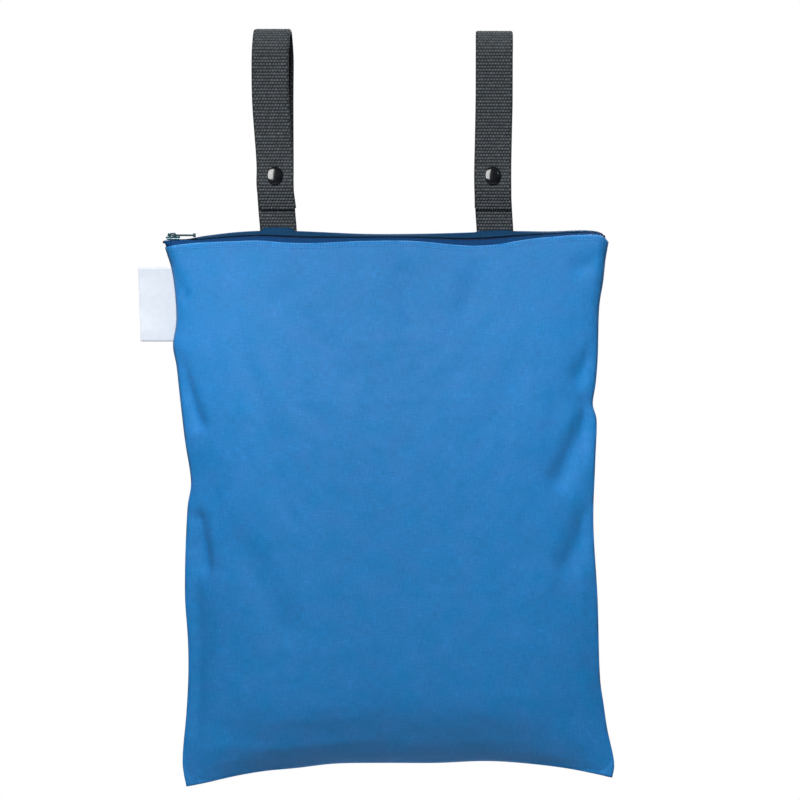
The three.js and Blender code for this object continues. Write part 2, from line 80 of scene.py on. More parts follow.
# The side seams from the top corner to the bottom corner, as height and place across.
LEFT_SEAM = [
    (-128.5, -148.8), (-134, -149.5), (-146, -145.6), (-163, -142.9), (-185, -141.8), (-201, -144.2),
    (-214, -141.8), (-234, -139.6), (-266, -135.9), (-296, -131.6), (-312, -134.1), (-370, -135.9),
    (-404, -133.8), (-427, -133.5), (-453, -134.8), (-488, -137.5), (-504.3, -134.8),
]
RIGHT_SEAM = [
    (-129.9, 155.4), (-141, 153.5), (-157, 151.8), (-174, 149.1), (-210, 148), (-228, 146.6),
    (-244, 144.4), (-250, 147.2), (-282, 146.3), (-324, 145), (-376, 147.9), (-431, 149.6),
    (-451, 152.4), (-465, 154.5), (-488, 159.4), (-498, 157.9),
]
# The bottom seam and the two edges of the mouth, as place across and height.
BOTTOM_SEAM = [
    (-134.8, -504.3), (-122, -501.8), (-101, -497), (-81, -493.6), (-59, -491.5), (-33, -488.5),
    (0, -488), (37, -488), (70, -486.7), (95, -488), (127, -491.8), (157.9, -498),
]
MOUTH_BACK = [
    (-149.5, -128.9), (-135, -127.6), (-122, -125.3), (-98, -122.6), (-72, -121.6), (-46, -122.6),
    (-12, -124), (20, -124), (55, -123.2), (80, -122), (115, -122.3), (142, -121.6), (152, -124),
    (155.4, -129.9),
]
MOUTH_FRONT = [
    (-149.5, -133.8), (-142, -132.4), (-128, -130.9), (-98, -129.6), (-84, -129.3), (-70, -130.5),
    (-50, -131.1), (-12, -129.6), (20, -129.6), (55, -132.6), (68, -132.7), (81, -131.6), (95, -129.1),
    (115, -126.8), (142, -125.2), (150, -126), (153, -127.4), (155.4, -129.9),
]
# How full the pouch is from the mouth, 0, to the bottom seam, 1.
SIDE_PROFILE = [
    (0, 0), (0.08, 0.26), (0.2, 0.6), (0.35, 0.87), (0.5, 0.97), (0.65, 1), (0.8, 0.96), (0.89, 0.86),
    (0.935, 0.7), (0.968, 0.4), (1, 0),
]
# Folds as lines in the front view: from x, z to x, z, half width, and depth out of the bag.
FRONT_FOLDS = [
    (-144, -150, -138, -168, 5, -2.8), (-143, -211, -126, -255, 5.5, -3.6),
    (-127, -321, -122, -352, 6, -3.8), (-134, -345, -135, -455, 15, -3), (-98, -335, -66, -392, 12, -2.2),
    (-66, -170, -26, -222, 11, -1.3), (12, -150, 22, -182, 9, -2), (66, -138, 60, -170, 9, -2.4),
    (152, -136, 136, -146, 7, -3), (147, -205, 136, -222, 7, -3), (146, -246, 122, -292, 9, -4.5),
    (143, -322, 128, -350, 9, -3.5), (-100, -468, 110, -466, 13, -2),
]
BACK_FOLDS = [
    (-134, -296, -108, -338, 10, -4), (147, -247, 118, -214, 10, -4), (-72, -136, -66, -200, 14, 2.5),
    (77, -136, 72, -200, 14, 2.5), (-120, -462, 120, -458, 14, -2),
]
# Faint creases where the bag lay folded flat: from x, z to x, z, half width and depth.
PACKING_CREASES = [
    (-60, -240, 75, -237, 2.2, 0.14), (-28, -291, 6, -290, 1.8, -0.13), (-30, -369, 80, -368, 2.0, 0.14),
    (-84, -258, -60, -322, 5, -0.6), (-96, -478, 0, -470, 4, 0.5),
]
# Each loop of webbing: where it runs at the front, the back, the snap, its end and its seam.
STRAPS = {
    "left": {"front": -76.6, "back": -74.2, "snap": -73.8, "end": -72.1, "seam": -71.8, "lift": 1.7},
    "right": {"front": 76.4, "back": 77.2, "snap": 75.8, "end": 76.1, "seam": 77.5, "lift": 0.3},
}
# The cut piece of each side, laid flat: its size, its middle across and the height of its top edge.
FLAT_WIDTH = 305
FLAT_HEIGHT = 381
FLAT_MIDDLE = 3
FLAT_TOP = -125
# Half of the mouth's opening, the solids' wall of cloth, and from the mouth's edge to its stitches.
MOUTH_HALF = 5
CLOTH_WALL = 1.4
HEM_DEPTH = 3.4
# The rail's seat in the loops, the webbing, and half of the socket that holds its layers apart. Then
# heights: the snaps, how far the webbing lies flat above and below them, its waist and its free end.
SEAT_RADIUS = 13
WEBBING_THICK = 1.8
SOCKET_HALF = 1.7
SNAP_HEIGHT = -84.5
SNAP_FLAT = 7
STRAP_WAIST = -32.1
STRAP_END = -106.3
# From the zip's middle out to the pin that the pull swings on.
PIN_HEIGHT = 3.5
# The left edge of the side label, its top and its bottom.
LABEL_EDGE, LABEL_TOP, LABEL_BOTTOM = -168.0, -147.2, -198.3
# How long the cloth settles, and how far it may move from its drawn shape.
SETTLING_FRAMES = 30
SETTLING_REACH = 9
FRONT = -1
BACK = 1


class ClothSettings(bpy.types.PropertyGroup):
    """Sizes and colour of the cloth sides."""

    colour: bpy.props.FloatVectorProperty(
        name="Cotton", description="Colour of the cotton", subtype="COLOR", size=3, min=0, max=1,
        default=(0.005, 0.165, 0.44))
    front_bulge: bpy.props.FloatProperty(
        name="Front bulge", description="How far the front side stands out, in millimetres", default=36)
    back_bulge: bpy.props.FloatProperty(
        name="Back bulge", description="How far the back side stands out, in millimetres", default=30)
    wall: bpy.props.FloatProperty(
        name="Cloth", description="Thickness of the cotton and its lining, in millimetres", default=1.3)
    columns: bpy.props.IntProperty(name="Columns", description="Cloth cells across", default=76)
    rows: bpy.props.IntProperty(name="Rows", description="Cloth cells from mouth to bottom", default=94)


class ZipSettings(bpy.types.PropertyGroup):
    """Sizes and colours of the zip."""

    front_colour: bpy.props.FloatVectorProperty(
        name="Front tape", description="Colour of the front tape", subtype="COLOR", size=3, min=0, max=1,
        default=(0.002, 0.04, 0.136))
    back_colour: bpy.props.FloatVectorProperty(
        name="Back tape", description="Colour of the back tape", subtype="COLOR", size=3, min=0, max=1,
        default=(0.003, 0.038, 0.1))
    # The coil is the nylon's own navy made darker still, as painted shade along the line where the teeth
    # lock between the tapes.
    coil_colour: bpy.props.FloatVectorProperty(
        name="Coil", description="Colour of the nylon coil", subtype="COLOR", size=3, min=0, max=1,
        default=(0.002, 0.01, 0.035))
    metal_colour: bpy.props.FloatVectorProperty(
        name="Slider", description="Colour of the enamelled slider", subtype="COLOR", size=3, min=0, max=1,
        default=(0.05, 0.11, 0.14))
    tooth_pitch: bpy.props.FloatProperty(
        name="Tooth pitch", description="From one tooth to the next, in millimetres", default=0.66)
    stitch_pitch: bpy.props.FloatProperty(
        name="Stitch pitch", description="From one stitch to the next, in millimetres", default=2.1)


class WebbingSettings(bpy.types.PropertyGroup):
    """Sizes and colour of the webbing loops."""

    colour: bpy.props.FloatVectorProperty(
        name="Webbing", description="Colour of the webbing's yarn", subtype="COLOR", size=3, min=0, max=1,
        default=(0.064, 0.076, 0.086))
    width: bpy.props.FloatProperty(name="Width", description="Width in millimetres", default=25.4)
    thickness: bpy.props.FloatProperty(
        name="Thickness", description="Thickness in millimetres", default=WEBBING_THICK)
    row_pitch: bpy.props.FloatProperty(
        name="Row pitch", description="From one row of yarn to the next, in millimetres", default=2.15)
    yarns: bpy.props.IntProperty(name="Yarns", description="Yarns across the webbing", default=12)


class TrimSettings(bpy.types.PropertyGroup):
    """Colours and sizes of the snaps and the side label."""

    snap_colour: bpy.props.FloatVectorProperty(
        name="Snaps", description="Colour of the snaps", subtype="COLOR", size=3, min=0, max=1,
        default=(0.002, 0.0023, 0.003))
    label_colour: bpy.props.FloatVectorProperty(
        name="Label", description="Colour of the label", subtype="COLOR", size=3, min=0, max=1,
        default=(0.53, 0.575, 0.64))
    cap_radius: bpy.props.FloatProperty(name="Cap radius", description="In millimetres", default=6.2)
    cap_height: bpy.props.FloatProperty(name="Cap height", description="In millimetres", default=2.4)


class StageSettings(bpy.types.PropertyGroup):
    """The camera, the lights and the floor."""

    distance: bpy.props.FloatProperty(
        name="Camera distance", description="From the bag to the camera", default=2.0, unit="LENGTH")
    view_width: bpy.props.FloatProperty(
        name="View width", description="What the picture spans at the bag", default=0.55, unit="LENGTH")
    key_power: bpy.props.FloatProperty(
        name="Key light", description="Power of the upper light", default=102)
    wash_power: bpy.props.FloatProperty(
        name="Washes", description="Power of the lights at the upper corners", default=0.1)
    window_power: bpy.props.FloatProperty(
        name="Window light", description="Power of the window that shows in the snaps", default=135)
    back_power: bpy.props.FloatProperty(
        name="Back light", description="Power of the light behind", default=48)
    world_light: bpy.props.FloatProperty(
        name="Ambient light", description="Light from all round", default=0.12)


# Curves and shapes

def smooth_curve(table):
    """A smooth curve through rows of (place, value), as a function of arrays."""
    places, values = np.array(sorted(table), float).T
    last = len(places) - 1
    index = np.arange(last + 1)
    before, after = np.maximum(index - 1, 0), np.minimum(index + 1, last)
    slopes = (values[after] - values[before]) / (places[after] - places[before])

    def read(at):
        at = np.clip(at, places[0], places[-1])
        i = np.clip(np.searchsorted(places, at, side="right") - 1, 0, last - 1)
        span = places[i + 1] - places[i]
        t = (at - places[i]) / span
        rise = values[i + 1] - values[i]
        bend = t * (1 - t) * ((1 - t) * (slopes[i] * span - rise) - t * (slopes[i + 1] * span - rise))
        return values[i] + t * rise + bend

    return read


left_seam = smooth_curve(LEFT_SEAM)
right_seam = smooth_curve(RIGHT_SEAM)
bottom_seam = smooth_curve(BOTTOM_SEAM)
mouth_back = smooth_curve(MOUTH_BACK)
mouth_front = smooth_curve(MOUTH_FRONT)
fullness = smooth_curve(SIDE_PROFILE)
TOP_LEFT_X = LEFT_SEAM[0][1]
TOP_RIGHT_X = RIGHT_SEAM[0][1]


def smoothstep(low, high, value):
    """Zero below one value, one above the other, and a smooth rise between."""
    t = np.clip((value - low) / (high - low), 0, 1)
    return t * t * (3 - 2 * t)


def lerp(a, b, t):
    """The value at a share of the way from a to b."""
    return a + (b - a) * t


def round_angles(count):
    """Evenly spaced angles of one turn."""
    return np.arange(count) / count * 2 * math.pi


def unit(vectors):
    """Vectors at length one."""
    return vectors / np.maximum(np.linalg.norm(vectors, axis=-1, keepdims=True), 1e-12)


def fold_relief(folds, x, z):
    """How far out the cloth stands at x, z because of a table of folds."""
    total = np.zeros_like(x)
    for x1, z1, x2, z2, width, depth in folds:
        run_x, run_z = x2 - x1, z2 - z1
        place = np.clip(((x - x1) * run_x + (z - z1) * run_z) / (run_x ** 2 + run_z ** 2), 0, 1)
        off = np.hypot(x - x1 - place * run_x, z - z1 - place * run_z) / width
        total += depth * np.exp(-off * off)
    return total


def webbing_in_seam(x):
    """The extra room in the back edge of the mouth where a loop's webbing is sewn in."""
    most = np.zeros_like(x)
    for strap in STRAPS.values():
        past = np.abs(x - strap["seam"]) - 13.7
        most = np.maximum(most, 1 - smoothstep(0, 4, past))
    return most * 2.1


def mouth_open(x):
    """Half of the mouth's opening at a place along it; it closes at the side seams."""
    from_end = np.minimum(x - TOP_LEFT_X, TOP_RIGHT_X - x)
    return MOUTH_HALF * smoothstep(0, 1.6, from_end)


def side_grid(side, bulge, columns, rows):
    """Points of one cloth side, without its folds, and where each lies on the flat cloth."""
    u, v = np.meshgrid(np.linspace(-1, 1, columns + 1), np.linspace(0, 1, rows + 1))
    mouth = mouth_front if side == FRONT else mouth_back
    left_x = left_seam(lerp(mouth(TOP_LEFT_X), LEFT_SEAM[-1][0], v))
    right_x = right_seam(lerp(mouth(TOP_RIGHT_X), RIGHT_SEAM[-1][0], v))
    x = lerp(left_x, right_x, (u + 1) / 2)
    top_x = lerp(TOP_LEFT_X, TOP_RIGHT_X, (u + 1) / 2)
    z = lerp(mouth(top_x), bottom_seam(x), v)
    roundness = 3.2 if side == FRONT else 2.8
    opening = mouth_open(top_x) + CLOTH_WALL * mouth_open(top_x) / MOUTH_HALF
    seam_bump = webbing_in_seam(top_x) if side == BACK else 0
    at_mouth = (1 - v) ** 22
    rise = (opening + seam_bump) * at_mouth + opening * (1 - v) ** 3 * (1 - at_mouth)
    rise = rise + bulge * (1 - np.abs(u) ** roundness) * fullness(v)
    points = np.stack([x, side * (GAP / 2 + rise), z], axis=-1)
    flat = np.stack([FLAT_MIDDLE + u * FLAT_WIDTH / 2, FLAT_TOP - v * FLAT_HEIGHT], axis=-1)
    return points, flat


# Meshes

def new_object(name, points, faces, body=None, material=None, smooth=True):
    """A mesh object from points in millimetres."""
    mesh = bpy.data.meshes.new(name)
    mesh.from_pydata((np.asarray(points, float) * MM).tolist(), [], [list(f) for f in faces])
    mesh.validate()
    mesh.polygons.foreach_set("use_smooth", [smooth] * len(mesh.polygons))
    obj = bpy.data.objects.new(name, mesh)
    bpy.context.scene.collection.objects.link(obj)
    if material:
        mesh.materials.append(material)
    if body:
        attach(obj, body)
    return obj


def grid_faces(rows, columns, flip=False, closed=False):
    """Quads over a grid of points; closed joins the last column to the first."""
    around = columns if closed else columns - 1
    faces = []
    for r in range(rows - 1):
        for c in range(around):
            d = (c + 1) % columns
            quad = (r * columns + c, (r + 1) * columns + c, (r + 1) * columns + d, r * columns + d)
            faces.append(quad[::-1] if flip else quad)
    return faces


def tube(rings, ends=True):
    """Points and faces of a closed tube through rings of points that run the same way round."""
    rows, around = len(rings), len(rings[0])
    faces = grid_faces(rows, around, closed=True)
    if ends:
        faces.append(tuple(range(around)))
        faces.append(tuple(range(rows * around - 1, (rows - 1) * around - 1, -1)))
    return np.concatenate(rings), faces


def evaluated(obj):
    """A new mesh of an object as its modifiers leave it."""
    graph = bpy.context.evaluated_depsgraph_get()
    return bpy.data.meshes.new_from_object(obj.evaluated_get(graph), depsgraph=graph)


def bake_modifiers(obj):
    """Turns an object's live modifiers into its own mesh."""
    old, baked = obj.data, evaluated(obj)
    obj.modifiers.clear()
    obj.data = baked
    bpy.data.meshes.remove(old)
    return obj


def rows_of(items, attribute, width=3):
    """One attribute of a mesh's vertices or corners, as the rows of an array."""
    values = np.empty(len(items) * width)
    items.foreach_get(attribute, values)
    return values.reshape(-1, width)


def corner_points(mesh):
    """The number of the point at each corner of a mesh's faces."""
    numbers = np.empty(len(mesh.loops), np.int32)
    mesh.loops.foreach_get("vertex_index", numbers)
    return numbers


def join(objects, name):
    """Joins objects into the first of them."""
    with bpy.context.temp_override(
            active_object=objects[0], selected_editable_objects=objects, object=objects[0]):
        bpy.ops.object.join()
    objects[0].name = name
    objects[0].data.name = name
    return objects[0]


def remove(obj):
    """Deletes an object and its mesh."""
    mesh = obj.data
    bpy.data.objects.remove(obj)
    bpy.data.meshes.remove(mesh)


# Repeats made with Geometry Nodes

def repeats_tree():
    """A node tree that sets a shape at each point, by the point's own facing and along attributes."""
    name = "Set a shape at each point"
    if name in bpy.data.node_groups:
        return bpy.data.node_groups[name]
    tree = bpy.data.node_groups.new(name, "GeometryNodeTree")
    face = tree.interface
    face.new_socket("Geometry", in_out="INPUT", socket_type="NodeSocketGeometry")
    face.new_socket("Shape", in_out="INPUT", socket_type="NodeSocketObject")
    face.new_socket("Material", in_out="INPUT", socket_type="NodeSocketMaterial")
    face.new_socket("Size variation", in_out="INPUT", socket_type="NodeSocketFloat")
    face.new_socket("Seed", in_out="INPUT", socket_type="NodeSocketInt")
    face.new_socket("Geometry", in_out="OUTPUT", socket_type="NodeSocketGeometry")
    add = tree.nodes.new
    link = tree.links.new
    inputs, output = add("NodeGroupInput"), add("NodeGroupOutput")
    facing, along = add("GeometryNodeInputNamedAttribute"), add("GeometryNodeInputNamedAttribute")
    for attribute, source in (("facing", facing), ("along", along)):
        source.data_type = "FLOAT_VECTOR"
        source.inputs["Name"].default_value = attribute
    turn = add("FunctionNodeAxesToRotation")
    turn.primary_axis, turn.secondary_axis = "Z", "X"
    link(facing.outputs["Attribute"], turn.inputs[0])
    link(along.outputs["Attribute"], turn.inputs[1])
    low, high, size = add("ShaderNodeMath"), add("ShaderNodeMath"), add("FunctionNodeRandomValue")
    low.operation, high.operation = "SUBTRACT", "ADD"
    for step in (low, high):
        step.inputs[0].default_value = 1
        link(inputs.outputs["Size variation"], step.inputs[1])
    size.data_type = "FLOAT"
    link(low.outputs[0], size.inputs[2])
    link(high.outputs[0], size.inputs[3])
    link(inputs.outputs["Seed"], size.inputs["Seed"])
    shape, place = add("GeometryNodeObjectInfo"), add("GeometryNodeInstanceOnPoints")
    realize, finish = add("GeometryNodeRealizeInstances"), add("GeometryNodeSetMaterial")
    link(inputs.outputs["Shape"], shape.inputs["Object"])
    link(inputs.outputs["Geometry"], place.inputs["Points"])
    link(shape.outputs["Geometry"], place.inputs["Instance"])
    link(turn.outputs[0], place.inputs["Rotation"])
    link(size.outputs[1], place.inputs["Scale"])
    link(place.outputs["Instances"], realize.inputs["Geometry"])
    link(realize.outputs["Geometry"], finish.inputs["Geometry"])
    link(inputs.outputs["Material"], finish.inputs["Material"])
    link(finish.outputs["Geometry"], output.inputs["Geometry"])
    return tree


def set_at_points(name, shape, points, facing, along, material, variation=0.0, seed=1):
    """One mesh of a small shape repeated at points in millimetres."""
    obj = new_object(name, points, [])
    for attribute, vectors in (("facing", facing), ("along", along)):
        layer = obj.data.attributes.new(attribute, "FLOAT_VECTOR", "POINT")
        layer.data.foreach_set("vector", np.asarray(vectors, np.float32).ravel())
    modifier = obj.modifiers.new("repeats", "NODES")
    modifier.node_group = repeats_tree()
    values = {"Shape": shape, "Material": material, "Size variation": variation, "Seed": seed}
    for item in modifier.node_group.interface.items_tree:
        if item.in_out == "INPUT" and item.name in values:
            modifier[item.identifier] = values[item.name]
    bake_modifiers(obj)
    remove(shape)
    for attribute in ("facing", "along"):
        if attribute in obj.data.attributes:
            obj.data.attributes.remove(obj.data.attributes[attribute])
    return obj


def stitch_shape(length, radius):
    """A thread that rises out of the cloth and dives back into it, along X."""
    rings = []
    for t in np.linspace(-1, 1, 7):
        angle = round_angles(6)
        thick = radius * (1 - 0.55 * t ** 4)
        height = radius * (0.9 - 1.7 * t ** 4)
        rings.append(np.stack([
            np.full(6, t * length / 2), thick * np.cos(angle), height + thick * np.sin(angle)], axis=-1))
    points, faces = tube(rings)
    return new_object("stitch shape", points, faces)


def crown_shape(along, across, height):
    """The crown of a yarn: a low oval dome over a skirt that sinks into the webbing."""
    around = 8
    angle = round_angles(around)
    rings = []
    for share, level in ((1.0, -0.45), (0.94, 0.25), (0.62, 0.8)):
        rings.append(np.stack([
            share * along / 2 * np.cos(angle), share * across / 2 * np.sin(angle),
            np.full(around, level * height)], axis=-1))
    points = np.concatenate(rings + [np.array([[0, 0, height]])])
    faces = grid_faces(3, around, flip=True, closed=True)
    top = len(points) - 1
    faces += [(2 * around + i, 2 * around + (i + 1) % around, top) for i in range(around)]
    faces.append(tuple(reversed(range(around))))
    return new_object("crown shape", points, faces)


# Materials

def add_node(tree, kind, inputs=(), **settings):
    """A node with its settings and inputs; an input is a value or another node's socket."""
    node = tree.nodes.new(kind)
    for key, value in settings.items():
        setattr(node, key, value)
    for key, value in dict(inputs).items():
        if isinstance(value, bpy.types.NodeSocket):
            tree.links.new(value, node.inputs[key])
        else:
            node.inputs[key].default_value = value
    return node


def new_material(name, colour, **sockets):
    """A material, its node tree and its shader, with even values set on the shader itself."""
    material = bpy.data.materials.new(name)
    material.use_nodes = True
    tree = material.node_tree
    shader = tree.nodes["Principled BSDF"]
    shader.inputs["Base Color"].default_value = (*colour, 1)
    for socket, value in sockets.items():
        shader.inputs[socket.replace("_", " ")].default_value = value
    return material, tree, shader


def scaled(colour, factor):
    """A lighter or darker colour, with its alpha."""
    return (*(min(c * factor, 1) for c in colour), 1)


def noise(tree, vector, scale, detail=3, roughness=0.5):
    """Soft noise with so many waves to a metre."""
    node = add_node(tree, "ShaderNodeTexNoise", {
        "Vector": vector, "Scale": scale, "Detail": detail, "Roughness": roughness})
    return node.outputs["Fac"]


def ramp(tree, value, stops):
    """A colour ramp through (place, colour) stops."""
    node = add_node(tree, "ShaderNodeValToRGB", {"Fac": value})
    elements = node.color_ramp.elements
    while len(elements) < len(stops):
        elements.new(0.5)
    for element, (place, colour) in zip(elements, stops):
        element.position = place
        element.color = colour
    return node.outputs["Color"]


def tinted(tree, shader, colour, value, stops):
    """Colours a shader by a value, from (place, share of the colour) stops."""
    shades = ramp(tree, value, [(place, scaled(colour, share)) for place, share in stops])
    tree.links.new(shades, shader.inputs["Base Color"])


def object_place(tree):
    """The place on the piece, in metres."""
    return add_node(tree, "ShaderNodeTexCoord").outputs["Object"]


def mapped(tree, vector, **settings):
    """A vector that is moved or stretched."""
    return add_node(tree, "ShaderNodeMapping", {0: vector, **settings}).outputs[0]


def wave(tree, value, pitch):
    """A sine of a length in metres, with the given pitch in millimetres."""
    turns = add_node(tree, "ShaderNodeMath", {0: value, 1: 2 * math.pi / (pitch * MM)}, operation="MULTIPLY")
    return add_node(tree, "ShaderNodeMath", {0: turns.outputs[0]}, operation="SINE").outputs[0]


def combine(tree, operation, a, b):
    """One sum of two values or sockets."""
    return add_node(tree, "ShaderNodeMath", {0: a, 1: b}, operation=operation).outputs[0]


def weighted(tree, *terms):
    """The sum of (value, weight) terms."""
    total = 0.0
    for value, weight in terms:
        total = combine(tree, "ADD", total, combine(tree, "MULTIPLY", value, weight))
    return total


def bump(tree, shader, height, strength, distance):
    """Gives a shader fine relief, with its depth in millimetres."""
    node = add_node(tree, "ShaderNodeBump", {
        "Height": height, "Strength": strength, "Distance": distance * MM})
    tree.links.new(node.outputs["Normal"], shader.inputs["Normal"])


def cotton_material(colour):
    """Plain-woven cotton: a fine weave with short slubs, faint patches of wear, and painted shade and light
    on the small gathers under the mouth's edge.
    """
    material, tree, shader = new_material(
        "blue cotton", colour, Roughness=0.65, Sheen_Weight=0.03, Sheen_Roughness=0.5,
        Specular_IOR_Level=0.25)
    uv = add_node(tree, "ShaderNodeUVMap", uv_map="flat cloth").outputs["UV"]
    parts = add_node(tree, "ShaderNodeSeparateXYZ", {0: uv})
    across, down = parts.outputs["X"], parts.outputs["Y"]
    weave = combine(tree, "MULTIPLY", wave(tree, across, 0.9), wave(tree, down, 0.9))
    warp = noise(tree, mapped(tree, uv, Scale=(1, 0.12, 1)), 1300)
    weft = noise(tree, mapped(tree, uv, Scale=(0.12, 1, 1)), 1300)
    slubs = combine(tree, "ADD", warp, weft)
    patches = noise(tree, uv, 45, detail=5)
    dye = noise(tree, mapped(tree, uv, Location=(3, 1, 0)), 60, detail=4)
    gathers = combine(tree, "MULTIPLY", hem_band(tree, down), wave(tree, across, 2.1))
    # The gathers also shift the colour: painted shade in their hollows and painted light on their crests,
    # alongside their relief in the bump.
    tone = weighted(tree, (1.0, 0.05), (slubs, 0.5), (patches, 0.2), (gathers, 0.1))
    shades = []
    for red, blue in ((0, 0.98), (0.012, 1.01)):
        tint = (colour[0] + red, colour[1], colour[2] * blue)
        shades.append(ramp(tree, tone, [
            (0.48, scaled(tint, 0.85)), (0.65, scaled(tint, 1.0)),
            (0.76, scaled(tint, 1.1)), (0.84, scaled(tint, 1.35)),
        ]))
    uneven = add_node(tree, "ShaderNodeMapRange", {"Value": dye, "From Min": 0.3, "From Max": 0.7})
    dyed = add_node(
        tree, "ShaderNodeMix", {0: uneven.outputs["Result"], 6: shades[0], 7: shades[1]}, data_type="RGBA")
    tree.links.new(dyed.outputs[2], shader.inputs["Base Color"])
    bump(tree, shader, weighted(tree, (weave, 0.3), (slubs, 1.0), (gathers, 2.0)), 0.3, 0.12)
    return material


def thread_and_highlit_fold_material(colour):
    """Twisted sewing thread and the rounded fold of the hem, a little lighter than the cloth; on the fold
    the lighter colour is a painted highlight where its top catches the light.
    """
    material, tree, shader = new_material("blue thread", colour, Roughness=0.6, Sheen_Weight=0.1)
    place = object_place(tree)
    twist = wave(tree, add_node(tree, "ShaderNodeSeparateXYZ", {0: place}).outputs["X"], 0.7)
    lint = noise(tree, place, 900)
    tinted(tree, shader, colour, lint, [(0.35, 0.9), (0.65, 1.1)])
    bump(tree, shader, weighted(tree, (lint, 1.0), (twist, 0.3)), 0.4, 0.1)
    return material


def hem_band(tree, height):
    """One between the mouth's edge and its stitching, and zero elsewhere."""
    below = combine(tree, "SUBTRACT", FLAT_TOP * MM, height)
    node = add_node(tree, "ShaderNodeMapRange", {
        "Value": below, "From Min": (HEM_DEPTH + 0.8) * MM, "From Max": HEM_DEPTH * MM,
    }, interpolation_type="SMOOTHSTEP")
    return node.outputs["Result"]


def tape_material(name, colour):
    """Woven zip tape with fine ribs along it."""
    material, tree, shader = new_material(name, colour, Roughness=0.8, Specular_IOR_Level=0.15)
    place = object_place(tree)
    parts = add_node(tree, "ShaderNodeSeparateXYZ", {0: place})
    ribs = wave(tree, parts.outputs["X"], 0.8)
    threads = wave(tree, combine(tree, "ADD", parts.outputs["Z"], parts.outputs["Y"]), 0.7)
    weave = combine(tree, "MULTIPLY", ribs, threads)
    speckle = noise(tree, place, 900)
    tone = weighted(tree, (weave, 0.2), (speckle, 1.0))
    tinted(tree, shader, colour, tone, [(0.25, 0.7), (0.55, 1.0), (0.85, 1.5)])
    bump(tree, shader, tone, 0.5, 0.15)
    return material


def coil_material(colour):
    """Nylon monofilament with a soft shine."""
    material, tree, shader = new_material("navy nylon coil", colour, Roughness=0.35, Coat_Weight=0.2)
    place = object_place(tree)
    tinted(tree, shader, colour, noise(tree, place, 400), [(0.3, 0.7), (0.7, 1.4)])
    bump(tree, shader, noise(tree, place, 2500), 0.1, 0.05)
    return material


def highlit_enamel_material(colour):
    """Enamelled metal with bright spots in its colour that are painted highlights."""
    material, tree, shader = new_material(
        "enamelled slider", colour, Metallic=0.55, Roughness=0.32, Coat_Weight=0.4, Coat_Roughness=0.15)
    place = object_place(tree)
    # The brightest stop, four times the colour, paints highlights in spots.
    tinted(tree, shader, colour, noise(tree, place, 700, detail=5), [(0.45, 0.8), (0.62, 1.3), (0.75, 4.0)])
    bump(tree, shader, noise(tree, place, 1800), 0.12, 0.05)
    return material


def webbing_material(colour, name="grey webbing"):
    """Spun yarn: fibres along each yarn and a spread of light and dark tufts."""
    material, tree, shader = new_material(
        name, colour, Roughness=0.75, Sheen_Weight=0.3, Sheen_Roughness=0.4, Specular_IOR_Level=0.3)
    place = object_place(tree)
    tufts = noise(tree, place, 420, detail=3, roughness=0.6)
    fibres = noise(tree, mapped(tree, place, Scale=(1, 1, 0.15)), 6000)
    tone = weighted(tree, (tufts, 1.0), (fibres, 0.3))
    tinted(tree, shader, colour, tone, [(0.45, 0.7), (0.65, 1.0), (0.9, 1.6)])
    bump(tree, shader, fibres, 0.5, 0.12)
    return material


def snap_material(colour):
    """Glossy black resin with the faintest moulding waves."""
    material, tree, shader = new_material(
        "glossy black resin", colour, Roughness=0.15, Specular_IOR_Level=0.3)
    place = object_place(tree)
    tinted(tree, shader, colour, noise(tree, place, 300), [(0.3, 0.8), (0.7, 1.5)])
    bump(tree, shader, noise(tree, place, 180, detail=1), 0.06, 0.1)
    return material


def satin_material(colour):
    """Satin ribbon: close ribs across it and a soft sheen."""
    material, tree, shader = new_material(
        "white satin ribbon", colour, Roughness=0.45, Sheen_Weight=0.3, Anisotropic=0.4)
    place = object_place(tree)
    parts = add_node(tree, "ShaderNodeSeparateXYZ", {0: place})
    ribs = wave(tree, parts.outputs["X"], 0.5)
    tinted(tree, shader, colour, noise(tree, place, 220), [(0.3, 0.94), (0.7, 1.0)])
    bump(tree, shader, ribs, 0.25, 0.06)
    return material


def material_named(name, make, colour):
    """A material that is made once and shared by several pieces."""
    return bpy.data.materials.get(name) or make(colour)


# Cloth sides

